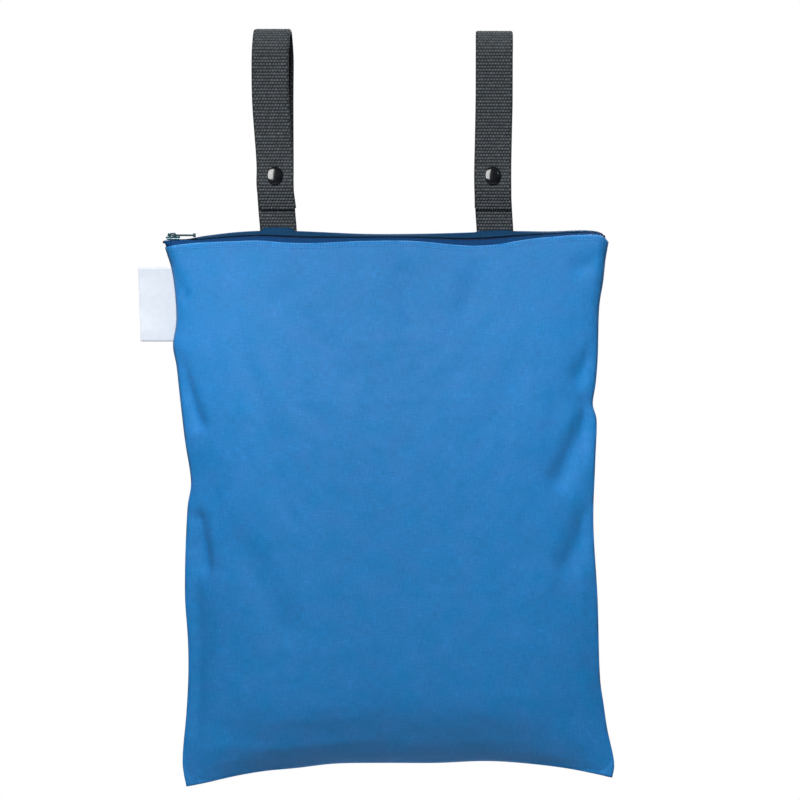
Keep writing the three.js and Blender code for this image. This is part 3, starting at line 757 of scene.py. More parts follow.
def settled(fronts, backs):
    """Lets both sides settle as one sewn bag of cloth with a little air in it."""
    rows, columns = fronts[0].shape[:2]
    count = rows * columns
    border = np.zeros((rows, columns), bool)
    border[:, 0] = border[:, -1] = border[-1] = True
    front_index = np.arange(count).reshape(rows, columns)
    back_index = front_index.copy()
    inside = ~border
    back_index[inside] = count + np.arange(inside.sum())
    start = np.concatenate([fronts[0].reshape(-1, 3), backs[0][inside]])
    start[front_index[border], 1] = 0
    flat = np.concatenate([fronts[1].reshape(-1, 2), backs[1][inside]])
    flat = np.stack([flat[:, 0], np.zeros(len(flat)), flat[:, 1]], axis=-1)
    faces = []
    for index, flip in ((front_index, False), (back_index, True)):
        for quad in grid_faces(rows, columns, flip):
            faces.append(tuple(index.ravel()[list(quad)]))
    bag = new_object("settling bag", start, faces)
    bag.shape_key_add(name="start")
    rest = bag.shape_key_add(name="flat")
    rest.data.foreach_set("co", (flat * MM).ravel())
    held = bag.vertex_groups.new(name="held")
    held.add([int(i) for i in np.unique(np.concatenate([
        front_index[border], front_index[0], back_index[0]]))], 1.0, "REPLACE")
    cloth = bag.modifiers.new("cloth", "CLOTH")
    settings = cloth.settings
    settings.quality = 6
    settings.mass = 0.02
    settings.tension_stiffness = settings.compression_stiffness = 12
    settings.shear_stiffness = 4
    settings.bending_stiffness = 0.06
    settings.vertex_group_mass = "held"
    settings.rest_shape_key = rest
    settings.use_pressure = True
    settings.uniform_pressure_force = 0.5
    settings.effector_weights.gravity = 0.15
    cloth.collision_settings.use_collision = False
    cloth.point_cache.frame_start = 1
    cloth.point_cache.frame_end = SETTLING_FRAMES
    scene = bpy.context.scene
    for step in range(1, SETTLING_FRAMES + 1):
        scene.frame_set(step)
    settled_mesh = evaluated(bag)
    points = rows_of(settled_mesh.vertices, "co") / MM
    scene.frame_set(1)
    bpy.data.meshes.remove(settled_mesh)
    remove(bag)
    moved = points - start
    length = np.linalg.norm(moved, axis=1, keepdims=True)
    points = start + moved * np.minimum(1, SETTLING_REACH / np.maximum(length, 1e-9))
    front, back = points[front_index], points[back_index]
    front[border, 1] = FRONT * GAP / 2
    back[border, 1] = BACK * GAP / 2
    return front, back


def seam_puckers(flat_x, flat_z):
    """Small gathers beside the seams, where the thread draws the cloth in."""
    from_side = FLAT_WIDTH / 2 - np.abs(flat_x - FLAT_MIDDLE)
    from_bottom = flat_z - FLAT_TOP + FLAT_HEIGHT
    from_mouth = FLAT_TOP - flat_z

    def gathers(along, seed):
        return (np.sin(along / 2.9 + seed) + 0.6 * np.sin(along / 1.7 + 2 * seed)
                + 0.8 * np.sin(along / 6.1 + 3 * seed))

    side = 0.22 * gathers(flat_z, 1.3) * np.exp(-from_side / 5) * smoothstep(0, 1.5, from_side)
    bottom = 0.2 * gathers(flat_x, 2.1) * np.exp(-from_bottom / 6) * smoothstep(0, 1.5, from_bottom)
    hem = 0.12 * gathers(flat_x, 4.7) * np.exp(-((from_mouth - 4) / 3) ** 2)
    groove = -0.3 * np.exp(-((from_mouth - HEM_DEPTH) / 0.9) ** 2)
    return side + bottom + hem + groove


def cloth_side(name, node, side, points, flat, folds, settings, material):
    """One side of the pouch, from its settled cells to a finished wall of cloth."""
    rows, columns = points.shape[:2]
    obj = new_object(name, points.reshape(-1, 3), grid_faces(rows, columns, side == BACK))
    uv = obj.data.uv_layers.new(name="flat cloth")
    uv.data.foreach_set("uv", (flat.reshape(-1, 2)[corner_points(obj.data)] * MM).ravel())
    finer = obj.modifiers.new("finer", "SUBSURF")
    finer.levels = finer.render_levels = 1
    finer.boundary_smooth = "PRESERVE_CORNERS"
    finer.uv_smooth = "PRESERVE_BOUNDARIES"
    bake_modifiers(obj)
    place = rows_of(obj.data.vertices, "co")
    on_flat = np.zeros((len(place), 2))
    on_flat[corner_points(obj.data)] = rows_of(obj.data.uv_layers[0].data, "uv", 2) / MM
    flat_x, flat_z = on_flat.T
    fade = (smoothstep(0, 9, FLAT_WIDTH / 2 - np.abs(flat_x - FLAT_MIDDLE))
            * smoothstep(4, 34, FLAT_TOP - flat_z) * smoothstep(0, 12, flat_z - FLAT_TOP + FLAT_HEIGHT))
    x, z = place[:, 0] / MM, place[:, 2] / MM
    relief = fold_relief(folds, x, z) * fade + seam_puckers(flat_x, flat_z)
    if side == FRONT:
        relief += fold_relief(PACKING_CREASES, x, z)
    place += rows_of(obj.data.vertex_normals, "vector") * relief[:, None] * MM
    obj.data.vertices.foreach_set("co", place.ravel())
    wall = obj.modifiers.new("wall", "SOLIDIFY")
    wall.thickness = settings.wall * MM
    wall.offset = -1
    bake_modifiers(obj)
    obj.data.materials.append(material)
    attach(obj, BAG)
    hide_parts(node)
    return obj


def mouth_line(side, below=0.0, out=0.0, start=TOP_LEFT_X + 2.5, end=TOP_RIGHT_X - 3, count=160):
    """Points along the outer edge of one side of the mouth."""
    x = np.linspace(start, end, count)
    height = mouth_front(x) if side == FRONT else mouth_back(x)
    bump_out = webbing_in_seam(x) if side == BACK else 0
    y = side * (GAP / 2 + mouth_open(x) / MOUTH_HALF * (MOUTH_HALF + CLOTH_WALL + out) + bump_out)
    return np.stack([x, y, height - below], axis=-1)


def on_surface(obj, points, way):
    """Where lines from points in millimetres first meet an object, and its facing there."""
    places, facing = [], []
    for point in points:
        hit, place, normal, _ = obj.ray_cast(point * MM, way)
        if hit:
            places.append(np.array(place) / MM)
            facing.append(normal)
    return np.array(places), np.array(facing)


class WETBAG_OT_cloth_sides(bpy.types.Operator):
    """Make the front and back of the pouch, settled as cloth, with folds, puckers and creases"""

    bl_idname = "wetbag.cloth_sides"
    bl_label = "Cloth sides"

    def execute(self, context):
        settings = context.scene.wetbag_cloth
        fronts = side_grid(FRONT, settings.front_bulge, settings.columns, settings.rows)
        backs = side_grid(BACK, settings.back_bulge, settings.columns, settings.rows)
        front, back = settled(fronts, backs)
        cotton = material_named("blue cotton", cotton_material, settings.colour)
        sides = (
            ("front_cloth", "front_panel", FRONT, front, fronts[1], FRONT_FOLDS),
            ("back_cloth", "back_panel", BACK, back, backs[1], BACK_FOLDS),
        )
        for name, node, side, points, flat, folds in sides:
            obj = cloth_side(name, node, side, points, flat, folds, settings, cotton)
        return {"FINISHED"}


class WETBAG_OT_top_stitching(bpy.types.Operator):
    """Sew the line of stitches under both edges of the mouth"""

    bl_idname = "wetbag.top_stitching"
    bl_label = "Top stitching"

    def execute(self, context):
        colour = context.scene.wetbag_cloth.colour
        pitch = context.scene.wetbag_zip.stitch_pitch
        first, last = TOP_LEFT_X + 4, TOP_RIGHT_X - 4
        count = int((last - first) / pitch)
        # The thread's colour is lighter than the cloth; on the hem's fold it is a painted highlight along
        # the top of the fold.
        thread = thread_and_highlit_fold_material([c * 1.35 + 0.04 for c in colour])
        for name, side in (("front_stitches", FRONT), ("back_stitches", BACK)):
            line = mouth_line(side, below=HEM_DEPTH, out=25, start=first, end=last, count=count)
            cloth = bpy.data.objects[name.replace("stitches", "cloth")]
            points, facing = on_surface(cloth, line, (0, -side, 0))
            along = unit(np.gradient(points, axis=0))
            stitch = stitch_shape(pitch * 0.8, 0.2)
            obj = set_at_points(name, stitch, points, facing, along, thread, 0.08, seed=3)
            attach(obj, BAG)
            self.folded_edge(name, side, thread, context.scene.wetbag_cloth.columns + 1)
        return {"FINISHED"}

    def folded_edge(self, name, side, material, count):
        """The rounded fold along an edge of the mouth, on the same curve as the cloth's own edge."""
        line = mouth_line(side, below=0.35, out=-0.65, start=TOP_LEFT_X, end=TOP_RIGHT_X, count=count)
        curve = np.empty((2 * count - 1, 3))
        curve[::2] = line
        curve[2:-2:2] = (line[:-2] + 6 * line[1:-1] + line[2:]) / 8
        curve[1::2] = (line[:-1] + line[1:]) / 2
        angle = round_angles(10)
        rings = [np.stack([np.full(10, x), y + 0.8 * np.cos(angle), z + 0.5 * np.sin(angle)], axis=-1)
                 for x, y, z in curve]
        points, faces = tube(rings)
        # The fold is given the thread's lighter colour, a painted highlight along its top.
        new_object(name.replace("stitches", "hem_edge"), points, faces, BAG, material)


# Zip

def corner_drop(x):
    """How far the front edge hangs below the zip at the slider's end."""
    return 4.8 * (1 - smoothstep(-149.5, -124, x))


def zip_frame(x):
    """Along the mouth: the zip's middle, across it towards the back, out of it, and half its width."""
    back = np.stack([x, np.full_like(x, MOUTH_HALF - GAP), mouth_back(x) - GAP], axis=-1)
    front = np.stack([x, np.full_like(x, GAP - MOUTH_HALF), mouth_front(x) + corner_drop(x) - GAP], axis=-1)
    across = back - front
    half = np.linalg.norm(across, axis=-1, keepdims=True) / 2
    across = unit(across)
    out = np.cross(np.array([1.0, 0, 0]), across)
    return (back + front) / 2, across, out, half


class WETBAG_OT_zip(bpy.types.Operator):
    """Make the zip's two tapes and its closed coil of teeth"""

    bl_idname = "wetbag.zip"
    bl_label = "Zip"

    def execute(self, context):
        settings = context.scene.wetbag_zip
        start, end = TOP_LEFT_X + 3, TOP_RIGHT_X - 4.5
        front = tape_material("front zip tape", settings.front_colour)
        back = tape_material("back zip tape", settings.back_colour)
        coil = material_named("navy nylon coil", coil_material, settings.coil_colour)
        self.tapes(start - 0.3, end + 0.6, front, back)
        self.teeth(end, settings.tooth_pitch, coil)
        self.tape_end(front, coil)
        return {"FINISHED"}

    def tapes(self, start, end, front, back):
        """Two bands of tape from the coil to the edges of the mouth."""
        x = np.linspace(start, end, 150)
        middle, across, out, half = zip_frame(x)
        near, far = 1.05, half - 0.1
        profile = [
            (0, 0.1), (0, 0.6), (0.15, 0.85), (0.4, 0.6), (0.75, 0.45), (1, 0.35), (1, -0.35), (0.5, -0.2),
        ]
        for name, side, tape in (("front_tape", FRONT, front), ("back_tape", BACK, back)):
            rings = []
            for i in range(len(x)):
                hump = self.hump(x[i]) if side == BACK else -float(corner_drop(x[i]))
                ring = [middle[i] + side * across[i] * lerp(near, far[i], share) + out[i] * height
                        + np.array([0, 0, hump * share ** 3]) for share, height in profile]
                rings.append(np.array(ring if side == BACK else ring[::-1]))
            points, faces = tube(rings)
            obj = new_object(f"{name}_cloth", points, faces, BAG, tape)
            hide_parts(name)

    def teeth(self, end, pitch, coil):
        """The closed coil: teeth from both sides in turn, from where the coil leaves the slider."""
        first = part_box("zipper_coil")[0][0] / MM
        count = int((end - first) / pitch)
        middle, across, out, _ = zip_frame(np.linspace(first, end, count))
        side = np.where(np.arange(count) % 2 == 0, 1.0, -1.0)[:, None]
        points = middle + side * across * 0.7 - out * 0.15
        teeth = set_at_points("zip_teeth", self.tooth(), points, out, across * side, coil, 0.02, seed=5)
        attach(teeth, BAG)
        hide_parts("zipper_coil")

    def tape_end(self, tape, coil):
        """The tapes' ends, folded round the corner of the mouth, and their melted tip."""
        rings = []
        for share in np.linspace(0, 1, 9):
            bend = math.sin(math.pi * share)
            top = np.array([-145.2 - 4.6 * bend, lerp(-4.4, 4.4, share), lerp(-129.4, -128.4, share)])
            low = top + [1.5 * bend, 0, 1.4 * share - 4.6]
            out = 0.6 * np.array([-bend, lerp(-1, 1, share) * (1 - bend), 0])
            rings.append(np.array([top, low, low + out, top + out]))
        points, faces = tube(rings)
        new_object("tape_end", points, faces, BAG, tape)
        around = round_angles(10)
        rings = []
        for angle in np.linspace(0, math.pi, 8)[1:-1]:
            reach = math.sin(angle)
            rings.append(np.stack([
                np.full(10, -150.1 - 1.1 * math.cos(angle)), reach * np.cos(around) - 0.5,
                reach * np.sin(around) - 130], axis=-1))
        points, faces = tube(rings)
        new_object("tape_tip", points, faces, BAG, coil)

    def hump(self, x):
        """How far the back tape rises where it runs over the end of a loop's webbing."""
        left = smoothstep(-84.5, -81, x) * (1 - smoothstep(-63.5, -60, x))
        right = smoothstep(63, 67, x) * (1 - smoothstep(87, 91, x))
        return 2.3 * float(left) + 0.7 * float(right)

    def tooth(self):
        """One turn of the coil, along X, thicker where it locks at the middle."""
        rings = []
        for t in np.linspace(-1, 1, 7):
            angle = round_angles(8)
            wide = 0.34 * (1 + 0.25 * math.exp(-((t + 0.75) / 0.3) ** 2))
            high = 0.5 * math.sqrt(max(1 - (abs(t) ** 4) * 0.6, 0))
            rings.append(np.stack([
                np.full(8, t * 1.3), wide * np.cos(angle), high * np.sin(angle)], axis=-1))
        points, faces = tube(rings)
        return new_object("tooth shape", points, faces)


class WETBAG_OT_slider(bpy.types.Operator):
    """Round the slider, its pull and the stop; the slider and pull get enamelled metal and the stop gets the
    coil's nylon
    """

    bl_idname = "wetbag.slider"
    bl_label = "Slider and pull"

    def execute(self, context):
        settings = context.scene.wetbag_zip
        enamel = material_named("enamelled slider", highlit_enamel_material, settings.metal_colour)
        coil = material_named("navy nylon coil", coil_material, settings.coil_colour)
        pieces = (
            ("slider", "slider_body", BAG, "slider_metal", enamel, 0.18),
            ("slider_pull", "pull_tab", PULL, "slider_metal", enamel, 0.2),
            ("end_stop", "zipper_stop", BAG, "zip_coil", coil, 0.25),
        )
        for name, node, body, slot, material, radius in pieces:
            rounded_copy(name, node, body, material, radius)
        pin = next(j for j in frame["record"]["behaviour"]["joints"] if j["name"] == "pull_swing")
        across = -np.array(pin["axis"])
        out = np.cross([1.0, 0, 0], across)
        middle = np.array(pin["pos_m"]) / MM - PIN_HEIGHT * out
        self.flanges(middle, across, out, enamel)
        self.crown(middle, across, out, enamel)
        return {"FINISHED"}

    def flanges(self, middle, across, out, enamel):
        """The slider's turned-down sides, which run along both edges of its upper plate."""
        for name, side in (("front_flange", -1), ("back_flange", 1)):
            rings = []
            for place, reach in ((-4.4, 0.5), (-3.6, 1.2), (0, 1.35), (3.6, 1.2), (4.5, 0.5)):
                corner = middle + [place, 0, 0]
                section = ((2.5, 1.7), (3.35, 1.7), (3.4, 1.6 - reach), (2.7, 1.6 - reach))
                ring = [corner + side * across * wide + out * high for wide, high in section]
                rings.append(np.array(ring[::side]))
            self.bevelled(name, rings, enamel)

    def crown(self, middle, across, out, enamel):
        """The spring's housing: it fills the bridge beside the pin and steps down past the pull's eye."""
        outline = [(-4.9, 2.2), (-0.85, 2.2), (-0.85, 4.5), (-1.3, 5), (-3.1, 5), (-3.6, 4.6), (-3.62, 2.95),
                   (-4.6, 2.9), (-4.9, 2.6)]
        rings = [np.array([middle + [place, 0, 0] + out * high + across * wide for place, high in outline])
                 for wide in (1.12, -1.12)]
        self.bevelled("slider_crown", rings, enamel)

    def bevelled(self, name, rings, material):
        """A hard piece of the slider through rings of points, with its edges broken."""
        points, faces = tube(rings)
        obj = new_object(name, points, faces, material=material, smooth=False)
        edge = obj.modifiers.new("edge", "BEVEL")
        edge.width = 0.2 * MM
        edge.segments = 2
        bake_modifiers(obj)
        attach(obj, BAG)


def rounded_copy(name, node, body, material, radius):
    """A copy of a solid with its hard edges rounded, which stands for that solid."""
    mesh = frame["nodes"][node].data.copy()
    mesh.name = name
    obj = bpy.data.objects.new(name, mesh)
    bpy.context.scene.collection.objects.link(obj)
    weld = obj.modifiers.new("weld", "WELD")
    weld.merge_threshold = 0.00002
    flat = obj.modifiers.new("flat faces", "DECIMATE")
    flat.decimate_type = "DISSOLVE"
    flat.angle_limit = math.radians(2)
    edge = obj.modifiers.new("edge", "BEVEL")
    edge.width = radius * MM
    edge.segments = 3
    edge.limit_method = "ANGLE"
    edge.angle_limit = math.radians(40)
    bake_modifiers(obj)
    obj.data.polygons.foreach_set("use_smooth", [True] * len(obj.data.polygons))
    obj.data.set_sharp_from_angle(angle=math.radians(35))
    obj.data.materials.clear()
    obj.data.materials.append(material)
    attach(obj, body)
    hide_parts(node)
    return obj


# Webbing loops

def loop_line(strap):
    """The middle line of one loop: out of the back seam, up behind the rail, over it and down."""
    half = WEBBING_THICK / 2
    seat = SEAT_RADIUS + half
    closed = SOCKET_HALF + half + GAP
    seam_x = np.array(strap["seam"], float)
    seam_y = MOUTH_HALF + float(webbing_in_seam(seam_x)) - GAP - half
    seam_z = float(mouth_back(seam_x))
    waist = lerp(closed, seat, 0.62)
    above, below = SNAP_HEIGHT + SNAP_FLAT, SNAP_HEIGHT - SNAP_FLAT
    points = [
        (strap["seam"], seam_y, seam_z - 9), (strap["seam"], seam_y, seam_z),
        (lerp(strap["seam"], strap["snap"], 0.5), lerp(seam_y, closed, 0.5), seam_z + 13),
        (strap["snap"], closed, below), (strap["snap"], closed, above), (strap["back"], waist, STRAP_WAIST),
    ]
    for i in range(11):
        angle = lerp(-0.14, math.pi + 0.14, i / 10)
        height = seat * math.sin(angle) + strap["lift"] * max(math.sin(angle), 0) ** 3
        points.append((lerp(strap["back"], strap["front"], i / 10), seat * math.cos(angle), height))
    points += [
        (strap["front"], -waist, STRAP_WAIST), (strap["snap"], -closed, above),
        (strap["snap"], -closed, below), (strap["end"], 1.9, STRAP_END),
    ]
    return np.array(points)


def centripetal(points, per_span=24):
    """A smooth line through points, with evenly spaced samples."""
    padded = np.concatenate([[2 * points[0] - points[1]], points, [2 * points[-1] - points[-2]]])
    line = []
    for p0, p1, p2, p3 in zip(padded, padded[1:], padded[2:], padded[3:]):
        t1 = np.linalg.norm(p1 - p0) ** 0.5
        t2 = t1 + np.linalg.norm(p2 - p1) ** 0.5
        t3 = t2 + np.linalg.norm(p3 - p2) ** 0.5
        for t in np.linspace(t1, t2, per_span, endpoint=False):
            a1 = lerp(p0, p1, t / t1)
            a2 = lerp(p1, p2, (t - t1) / (t2 - t1))
            a3 = lerp(p2, p3, (t - t2) / (t3 - t2))
            b1 = lerp(a1, a2, t / t2)
            b2 = lerp(a2, a3, (t - t1) / (t3 - t1))
            line.append(lerp(b1, b2, (t - t1) / (t2 - t1)))
    line.append(points[-1])
    return np.array(line)


def resampled(line, spacing):
    """The same line at an even spacing."""
    run = np.concatenate([[0], np.cumsum(np.linalg.norm(np.diff(line, axis=0), axis=1))])
    at = np.linspace(0, run[-1], max(int(round(run[-1] / spacing)), 2) + 1)
    return np.stack([np.interp(at, run, line[:, axis]) for axis in range(3)], axis=-1)


class WETBAG_OT_webbing_loops(bpy.types.Operator):
    """Weave the two webbing loops, with the crowns of their yarns on both faces"""

    bl_idname = "wetbag.webbing_loops"
    bl_label = "Webbing loops"

    def execute(self, context):
        settings = context.scene.wetbag_webbing
        yarn = webbing_material(settings.colour)
        # The core under the crowns has the yarn's colour at a fifth: painted shade in the gaps between the
        # rows of crowns.
        core_in_painted_shade = webbing_material([c * 0.22 for c in settings.colour], "webbing ground")
        for side, strap in STRAPS.items():
            line = centripetal(loop_line(strap))
            obj = join([self.core(side, line, settings, core_in_painted_shade), self.crowns(side, line, settings, yarn)],
                       f"{side}_webbing")
            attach(obj, BAG)
            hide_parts(f"{side}_strap")
        return {"FINISHED"}

    def core(self, side, line, settings, material):
        """The flat band under the yarns, with rounded selvedges."""
        line = resampled(line, settings.row_pitch / 2)
        along = unit(np.gradient(line, axis=0))
        outward = unit(np.cross([1.0, 0, 0], along))
        half, thick = settings.width / 2, settings.thickness / 2 - 0.22
        profile = [(half * math.copysign(abs(math.cos(a)) ** 0.12, math.cos(a)),
                    thick * math.copysign(abs(math.sin(a)) ** 0.6, math.sin(a)))
                   for a in round_angles(24)]
        rings = [np.array([[p[0] + across, p[1] + o[1] * out, p[2] + o[2] * out] for across, out in profile])
                 for p, o in zip(line, outward)]
        points, faces = tube(rings)
        return new_object(f"{side} core", points, faces, material=material)

    def crowns(self, side, line, settings, material):
        """Rows of yarn crowns on both faces, each row shifted by half a yarn."""
        line = resampled(line, settings.row_pitch)
        along = unit(np.gradient(line, axis=0))
        outward = unit(np.cross([1.0, 0, 0], along))
        pitch = (settings.width - 0.8) / settings.yarns
        places, facing, running = [], [], []
        for i, (point, run, out) in enumerate(zip(line, along, outward)):
            count = settings.yarns - i % 2
            for j in range(count):
                across = (j - (count - 1) / 2) * pitch
                for face in (-1, 1):
                    places.append(point + [across, 0, 0] + face * out * (settings.thickness / 2 - 0.3))
                    facing.append(face * out)
                    running.append(run)
        shape = crown_shape(settings.row_pitch * 0.86, pitch * 1.02, 0.5)
        return set_at_points(f"{side} crowns", shape, places, facing, running, material, 0.09, seed=7)


# Snaps

def turned(name, profile, centre, forward, across=1.0, segments=56):
    """A round piece about a front-to-back axis, from (radius, out) rows that start and end on it."""
    angle = round_angles(segments)
    points, faces = [], []
    for radius, out in profile[1:-1]:
        for a in angle:
            points.append([across * radius * math.cos(a), forward * out, radius * math.sin(a)])
    faces = grid_faces(len(profile) - 2, segments, flip=forward > 0, closed=True)
    for row, (_, out) in ((0, profile[0]), (len(profile) - 3, profile[-1])):
        points.append([0, forward * out, 0])
        for i in range(segments):
            a, b = row * segments + i, row * segments + (i + 1) % segments
            fan = (a, b, len(points) - 1)
            faces.append(fan if (row == 0) == (forward < 0) else fan[::-1])
    return new_object(name, np.array(points) + centre, faces)


class WETBAG_OT_snaps(bpy.types.Operator):
    """Turn the press snaps: domed caps on both faces and the socket between the layers"""

    bl_idname = "wetbag.snaps"
    bl_label = "Press snaps"

    def execute(self, context):
        settings = context.scene.wetbag_trim
        resin = material_named("glossy black resin", snap_material, settings.snap_colour)
        r, h = settings.cap_radius, settings.cap_height
        dome = [(0, 0), (r - 0.5, 0), (r - 0.12, 0.12), (r, 0.45), (r - 0.1, 0.8)]
        dome += [(r * math.sin(a), 0.8 + (h - 0.8) * math.cos(a) ** 1.1)
                 for a in np.linspace(math.radians(78), math.radians(6), 13)]
        dome.append((0, h))
        layer = SOCKET_HALF + GAP + WEBBING_THICK + GAP
        socket = [(0, 0), (4.3, 0), (4.6, 0.3), (4.6, 1.2), (3.6, 1.45), (3.6, 1.9), (4.6, 2.15), (4.6, 3.1),
                  (4.3, 3.4), (0, 3.4)]
        for side, strap in STRAPS.items():
            centre = np.array([strap["snap"], 0, SNAP_HEIGHT])
            pieces = (
                (f"{side}_cap", dome, [0, -layer, 0], FRONT, f"{side}_snap_cap"),
                (f"{side}_back_cap", dome, [0, layer, 0], BACK, f"{side}_snap_back_cap"),
                (f"{side}_socket", socket, [0, -SOCKET_HALF, 0], BACK, f"{side}_snap_socket"),
            )
            for name, profile, offset, forward, node in pieces:
                obj = turned(name, profile, centre + offset, forward, 0.9 if profile is dome else 1.0)
                obj.data.materials.append(resin)
                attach(obj, BAG)
                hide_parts(node)
        return {"FINISHED"}


# Side label

class WETBAG_OT_side_label(bpy.types.Operator):
    """Fold the blank satin label into the left seam"""

    bl_idname = "wetbag.side_label"
    bl_label = "Side label"

    def execute(self, context):
        settings = context.scene.wetbag_trim
        satin = material_named("white satin ribbon", satin_material, settings.label_colour)
        rows = 40
        z = np.linspace(LABEL_TOP, LABEL_BOTTOM, rows)
        beside = np.stack([np.full(rows, -200), np.zeros(rows), z], axis=-1)
        seam = on_surface(bpy.data.objects["front_cloth"], beside, (1, 0, 0))[0][:, 0] + 0.8
        profile = []
        for share in np.linspace(0, 1, 14):
            profile.append((1 - share, -0.16 - 0.5 * math.sin(math.pi * min(share * 1.05, 1)) ** 1.5))
        fold = [(0.5 * math.cos(a), 0.5 * math.sin(a))
                for a in np.linspace(-math.pi / 2, math.pi / 2, 7)[1:-1]]
        points = []
        for i in range(rows):
            wobble = 0.35 * math.sin(i / rows * 5) + 0.15 * math.sin(i / rows * 13)
            edge = LABEL_EDGE + 0.5 + 1.9 * i / rows
            row = [(lerp(edge, seam[i], place), y + wobble * (1 - place)) for place, y in profile]
            turn = [(edge - c, s * 0.4 + wobble) for c, s in fold]
            back = [(lerp(edge, seam[i], place), -y * 0.7 + wobble * (1 - place))
                    for place, y in reversed(profile)]
            for px, py in row + turn + back:
                points.append((px, py, z[i]))
        columns = len(points) // rows
        obj = new_object("folded_label", points, grid_faces(rows, columns))
        wall = obj.modifiers.new("wall", "SOLIDIFY")
        wall.thickness = 0.22 * MM
        wall.offset = 0
        bake_modifiers(obj)
        obj.data.materials.append(satin)
        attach(obj, BAG)
        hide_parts("side_label")
        return {"FINISHED"}


# Stage

def aimed(obj, location, target):
    """Puts a camera or a light at a place, facing a target."""
    obj.location = location
    way = np.array(target, float) - np.array(location, float)
    level = math.hypot(way[0], way[1])
    obj.rotation_euler = (math.atan2(level, -way[2]), 0, math.atan2(-way[0], way[1]))
    bpy.context.scene.collection.objects.link(obj)
    return obj


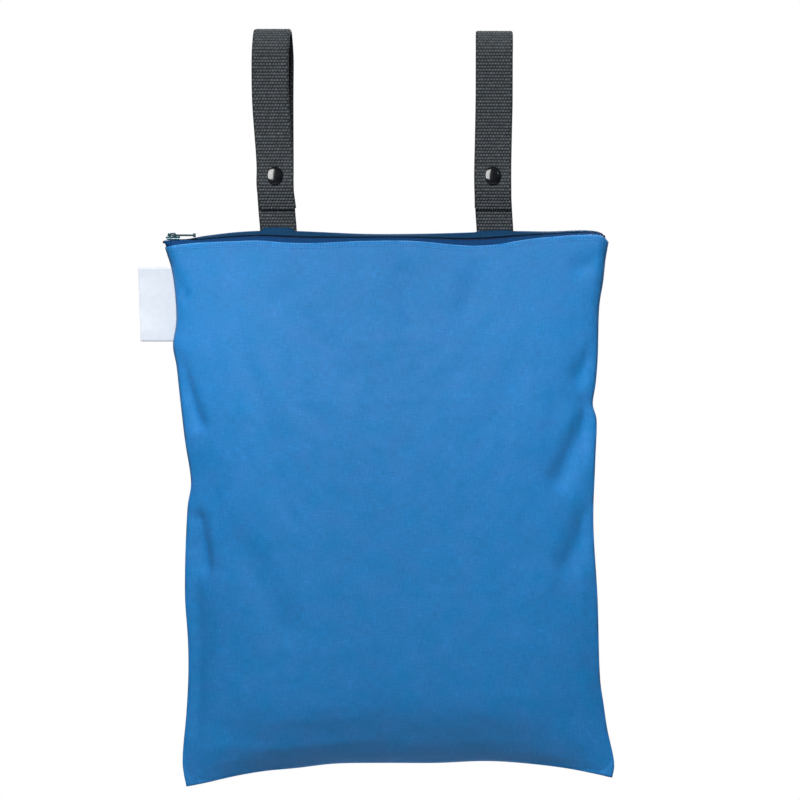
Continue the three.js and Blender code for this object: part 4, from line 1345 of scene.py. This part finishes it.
class WETBAG_OT_stage(bpy.types.Operator):
    """Set the camera, the soft lights and the floor"""

    bl_idname = "wetbag.stage"
    bl_label = "Stage"

    def execute(self, context):
        settings = context.scene.wetbag_stage
        scene = context.scene
        centre = (0.01203, 0.0, -0.23849)
        data = bpy.data.cameras.new("camera")
        data.sensor_width = 36
        data.lens = data.sensor_width * settings.distance / settings.view_width
        data.clip_end = 20
        scene.camera = aimed(
            bpy.data.objects.new("camera", data), (centre[0], -settings.distance, centre[2]), centre)
        lights = (
            ("key", (-0.4, -2.3, 1.65), centre, (0.8, 0.8), 180, settings.key_power),
            ("window", (-0.9, -1.25, 0.2), centre, (1.35, 1.35), 180, settings.window_power),
            ("left_wash", (-0.4, -0.5, 0), (-0.2, 0, -0.2), (0.2, 0.2), 28, settings.wash_power * 0.8),
            ("right_wash", (0.45, -0.5, 0), (0.22, 0, -0.25), (0.2, 0.2), 32, settings.wash_power),
            ("back", (0.5, 1.7, 0.6), centre, (1.4, 1.0), 180, settings.back_power),
        )
        for name, place, target, size, spread, power in lights:
            lamp = bpy.data.lights.new(name, "AREA")
            lamp.shape = "RECTANGLE"
            lamp.size, lamp.size_y = size
            lamp.spread = math.radians(spread)
            lamp.energy = power
            aimed(bpy.data.objects.new(name, lamp), place, target)
        self.window_for_snaps(scene)
        self.white_room(scene, settings.world_light)
        scene.view_settings.view_transform = "Standard"
        self.floor()
        return {"FINISHED"}

    def window_for_snaps(self, scene):
        """The window is there for its reflection in the snaps: they see it alone, and nothing else does."""
        for lamp, state in (("window", "INCLUDE"), ("key", "EXCLUDE")):
            group = bpy.data.collections.new(f"{lamp} and snaps")
            for obj in scene.objects:
                if obj.name.endswith("_cap"):
                    group.objects.link(obj)
            for entry in group.collection_objects:
                entry.light_linking.link_state = state
            bpy.data.objects[lamp].light_linking.receiver_collection = group

    def white_room(self, scene, light):
        """White all round where the camera looks past the bag, and a softer light on the bag."""
        world = bpy.data.worlds.new("white room")
        world.use_nodes = True
        scene.world = world
        tree = world.node_tree
        output = tree.nodes["World Output"]
        way = add_node(tree, "ShaderNodeTexCoord").outputs["Generated"]
        up = add_node(tree, "ShaderNodeSeparateXYZ", {0: way}).outputs["Z"]
        strength = add_node(tree, "ShaderNodeMapRange", {
            "Value": up, "From Min": -0.25, "From Max": 0.1, "To Min": light * 0.35, "To Max": light * 1.2})
        soft = tree.nodes["Background"]
        soft.inputs["Color"].default_value = (1, 1, 1, 1)
        tree.links.new(strength.outputs["Result"], soft.inputs["Strength"])
        seen = add_node(tree, "ShaderNodeBackground", {"Color": (1, 1, 1, 1), "Strength": 1.0})
        path = add_node(tree, "ShaderNodeLightPath")
        mix = add_node(tree, "ShaderNodeMixShader", {
            0: path.outputs["Is Camera Ray"], 1: soft.outputs[0], 2: seen.outputs[0]})
        tree.links.new(mix.outputs[0], output.inputs["Surface"])

    def floor(self):
        """A plain pale floor well below the bag."""
        count, radius, height = 96, 1300, -1300
        angle = round_angles(count)
        ring = np.stack([radius * np.cos(angle), radius * np.sin(angle), np.full(count, height)], axis=-1)
        material, tree, shader = new_material("pale floor", (0.7, 0.7, 0.7), Roughness=0.8)
        place = object_place(tree)
        tinted(tree, shader, (1, 1, 1), noise(tree, place, 40), [(0.3, 0.68), (0.7, 0.72)])
        return new_object("floor", ring, [tuple(range(count))], material=material)


class WETBAG_PT_panel(bpy.types.Panel):
    """Lists the wet bag's pieces"""

    bl_idname = "WETBAG_PT_panel"
    bl_label = "Wet bag"
    bl_space_type = "VIEW_3D"
    bl_region_type = "UI"
    bl_category = "Wet bag"

    def draw(self, context):
        for operator in OPERATORS:
            self.layout.operator(operator.bl_idname)
        for group in SETTINGS:
            settings = getattr(context.scene, group)
            box = self.layout.box()
            for name in settings.bl_rna.properties.keys():
                if name not in ("rna_type", "name"):
                    box.prop(settings, name)


OPERATORS = (
    WETBAG_OT_cloth_sides, WETBAG_OT_top_stitching, WETBAG_OT_zip, WETBAG_OT_slider,
    WETBAG_OT_webbing_loops, WETBAG_OT_snaps, WETBAG_OT_side_label, WETBAG_OT_stage,
)
SETTINGS = {
    "wetbag_cloth": ClothSettings,
    "wetbag_zip": ZipSettings,
    "wetbag_webbing": WebbingSettings,
    "wetbag_trim": TrimSettings,
    "wetbag_stage": StageSettings,
}


def register():
    for group in SETTINGS.values():
        bpy.utils.register_class(group)
    for operator in OPERATORS:
        bpy.utils.register_class(operator)
    bpy.utils.register_class(WETBAG_PT_panel)
    for name, group in SETTINGS.items():
        setattr(bpy.types.Scene, name, bpy.props.PointerProperty(type=group))


def unregister():
    for name in SETTINGS:
        delattr(bpy.types.Scene, name)
    bpy.utils.unregister_class(WETBAG_PT_panel)
    for operator in reversed(OPERATORS):
        bpy.utils.unregister_class(operator)
    for group in SETTINGS.values():
        bpy.utils.unregister_class(group)


def main():
    register()
    for operator in OPERATORS:
        group, name = operator.bl_idname.split(".")
        getattr(getattr(bpy.ops, group), name)()


if __name__ == "__main__":
    main()
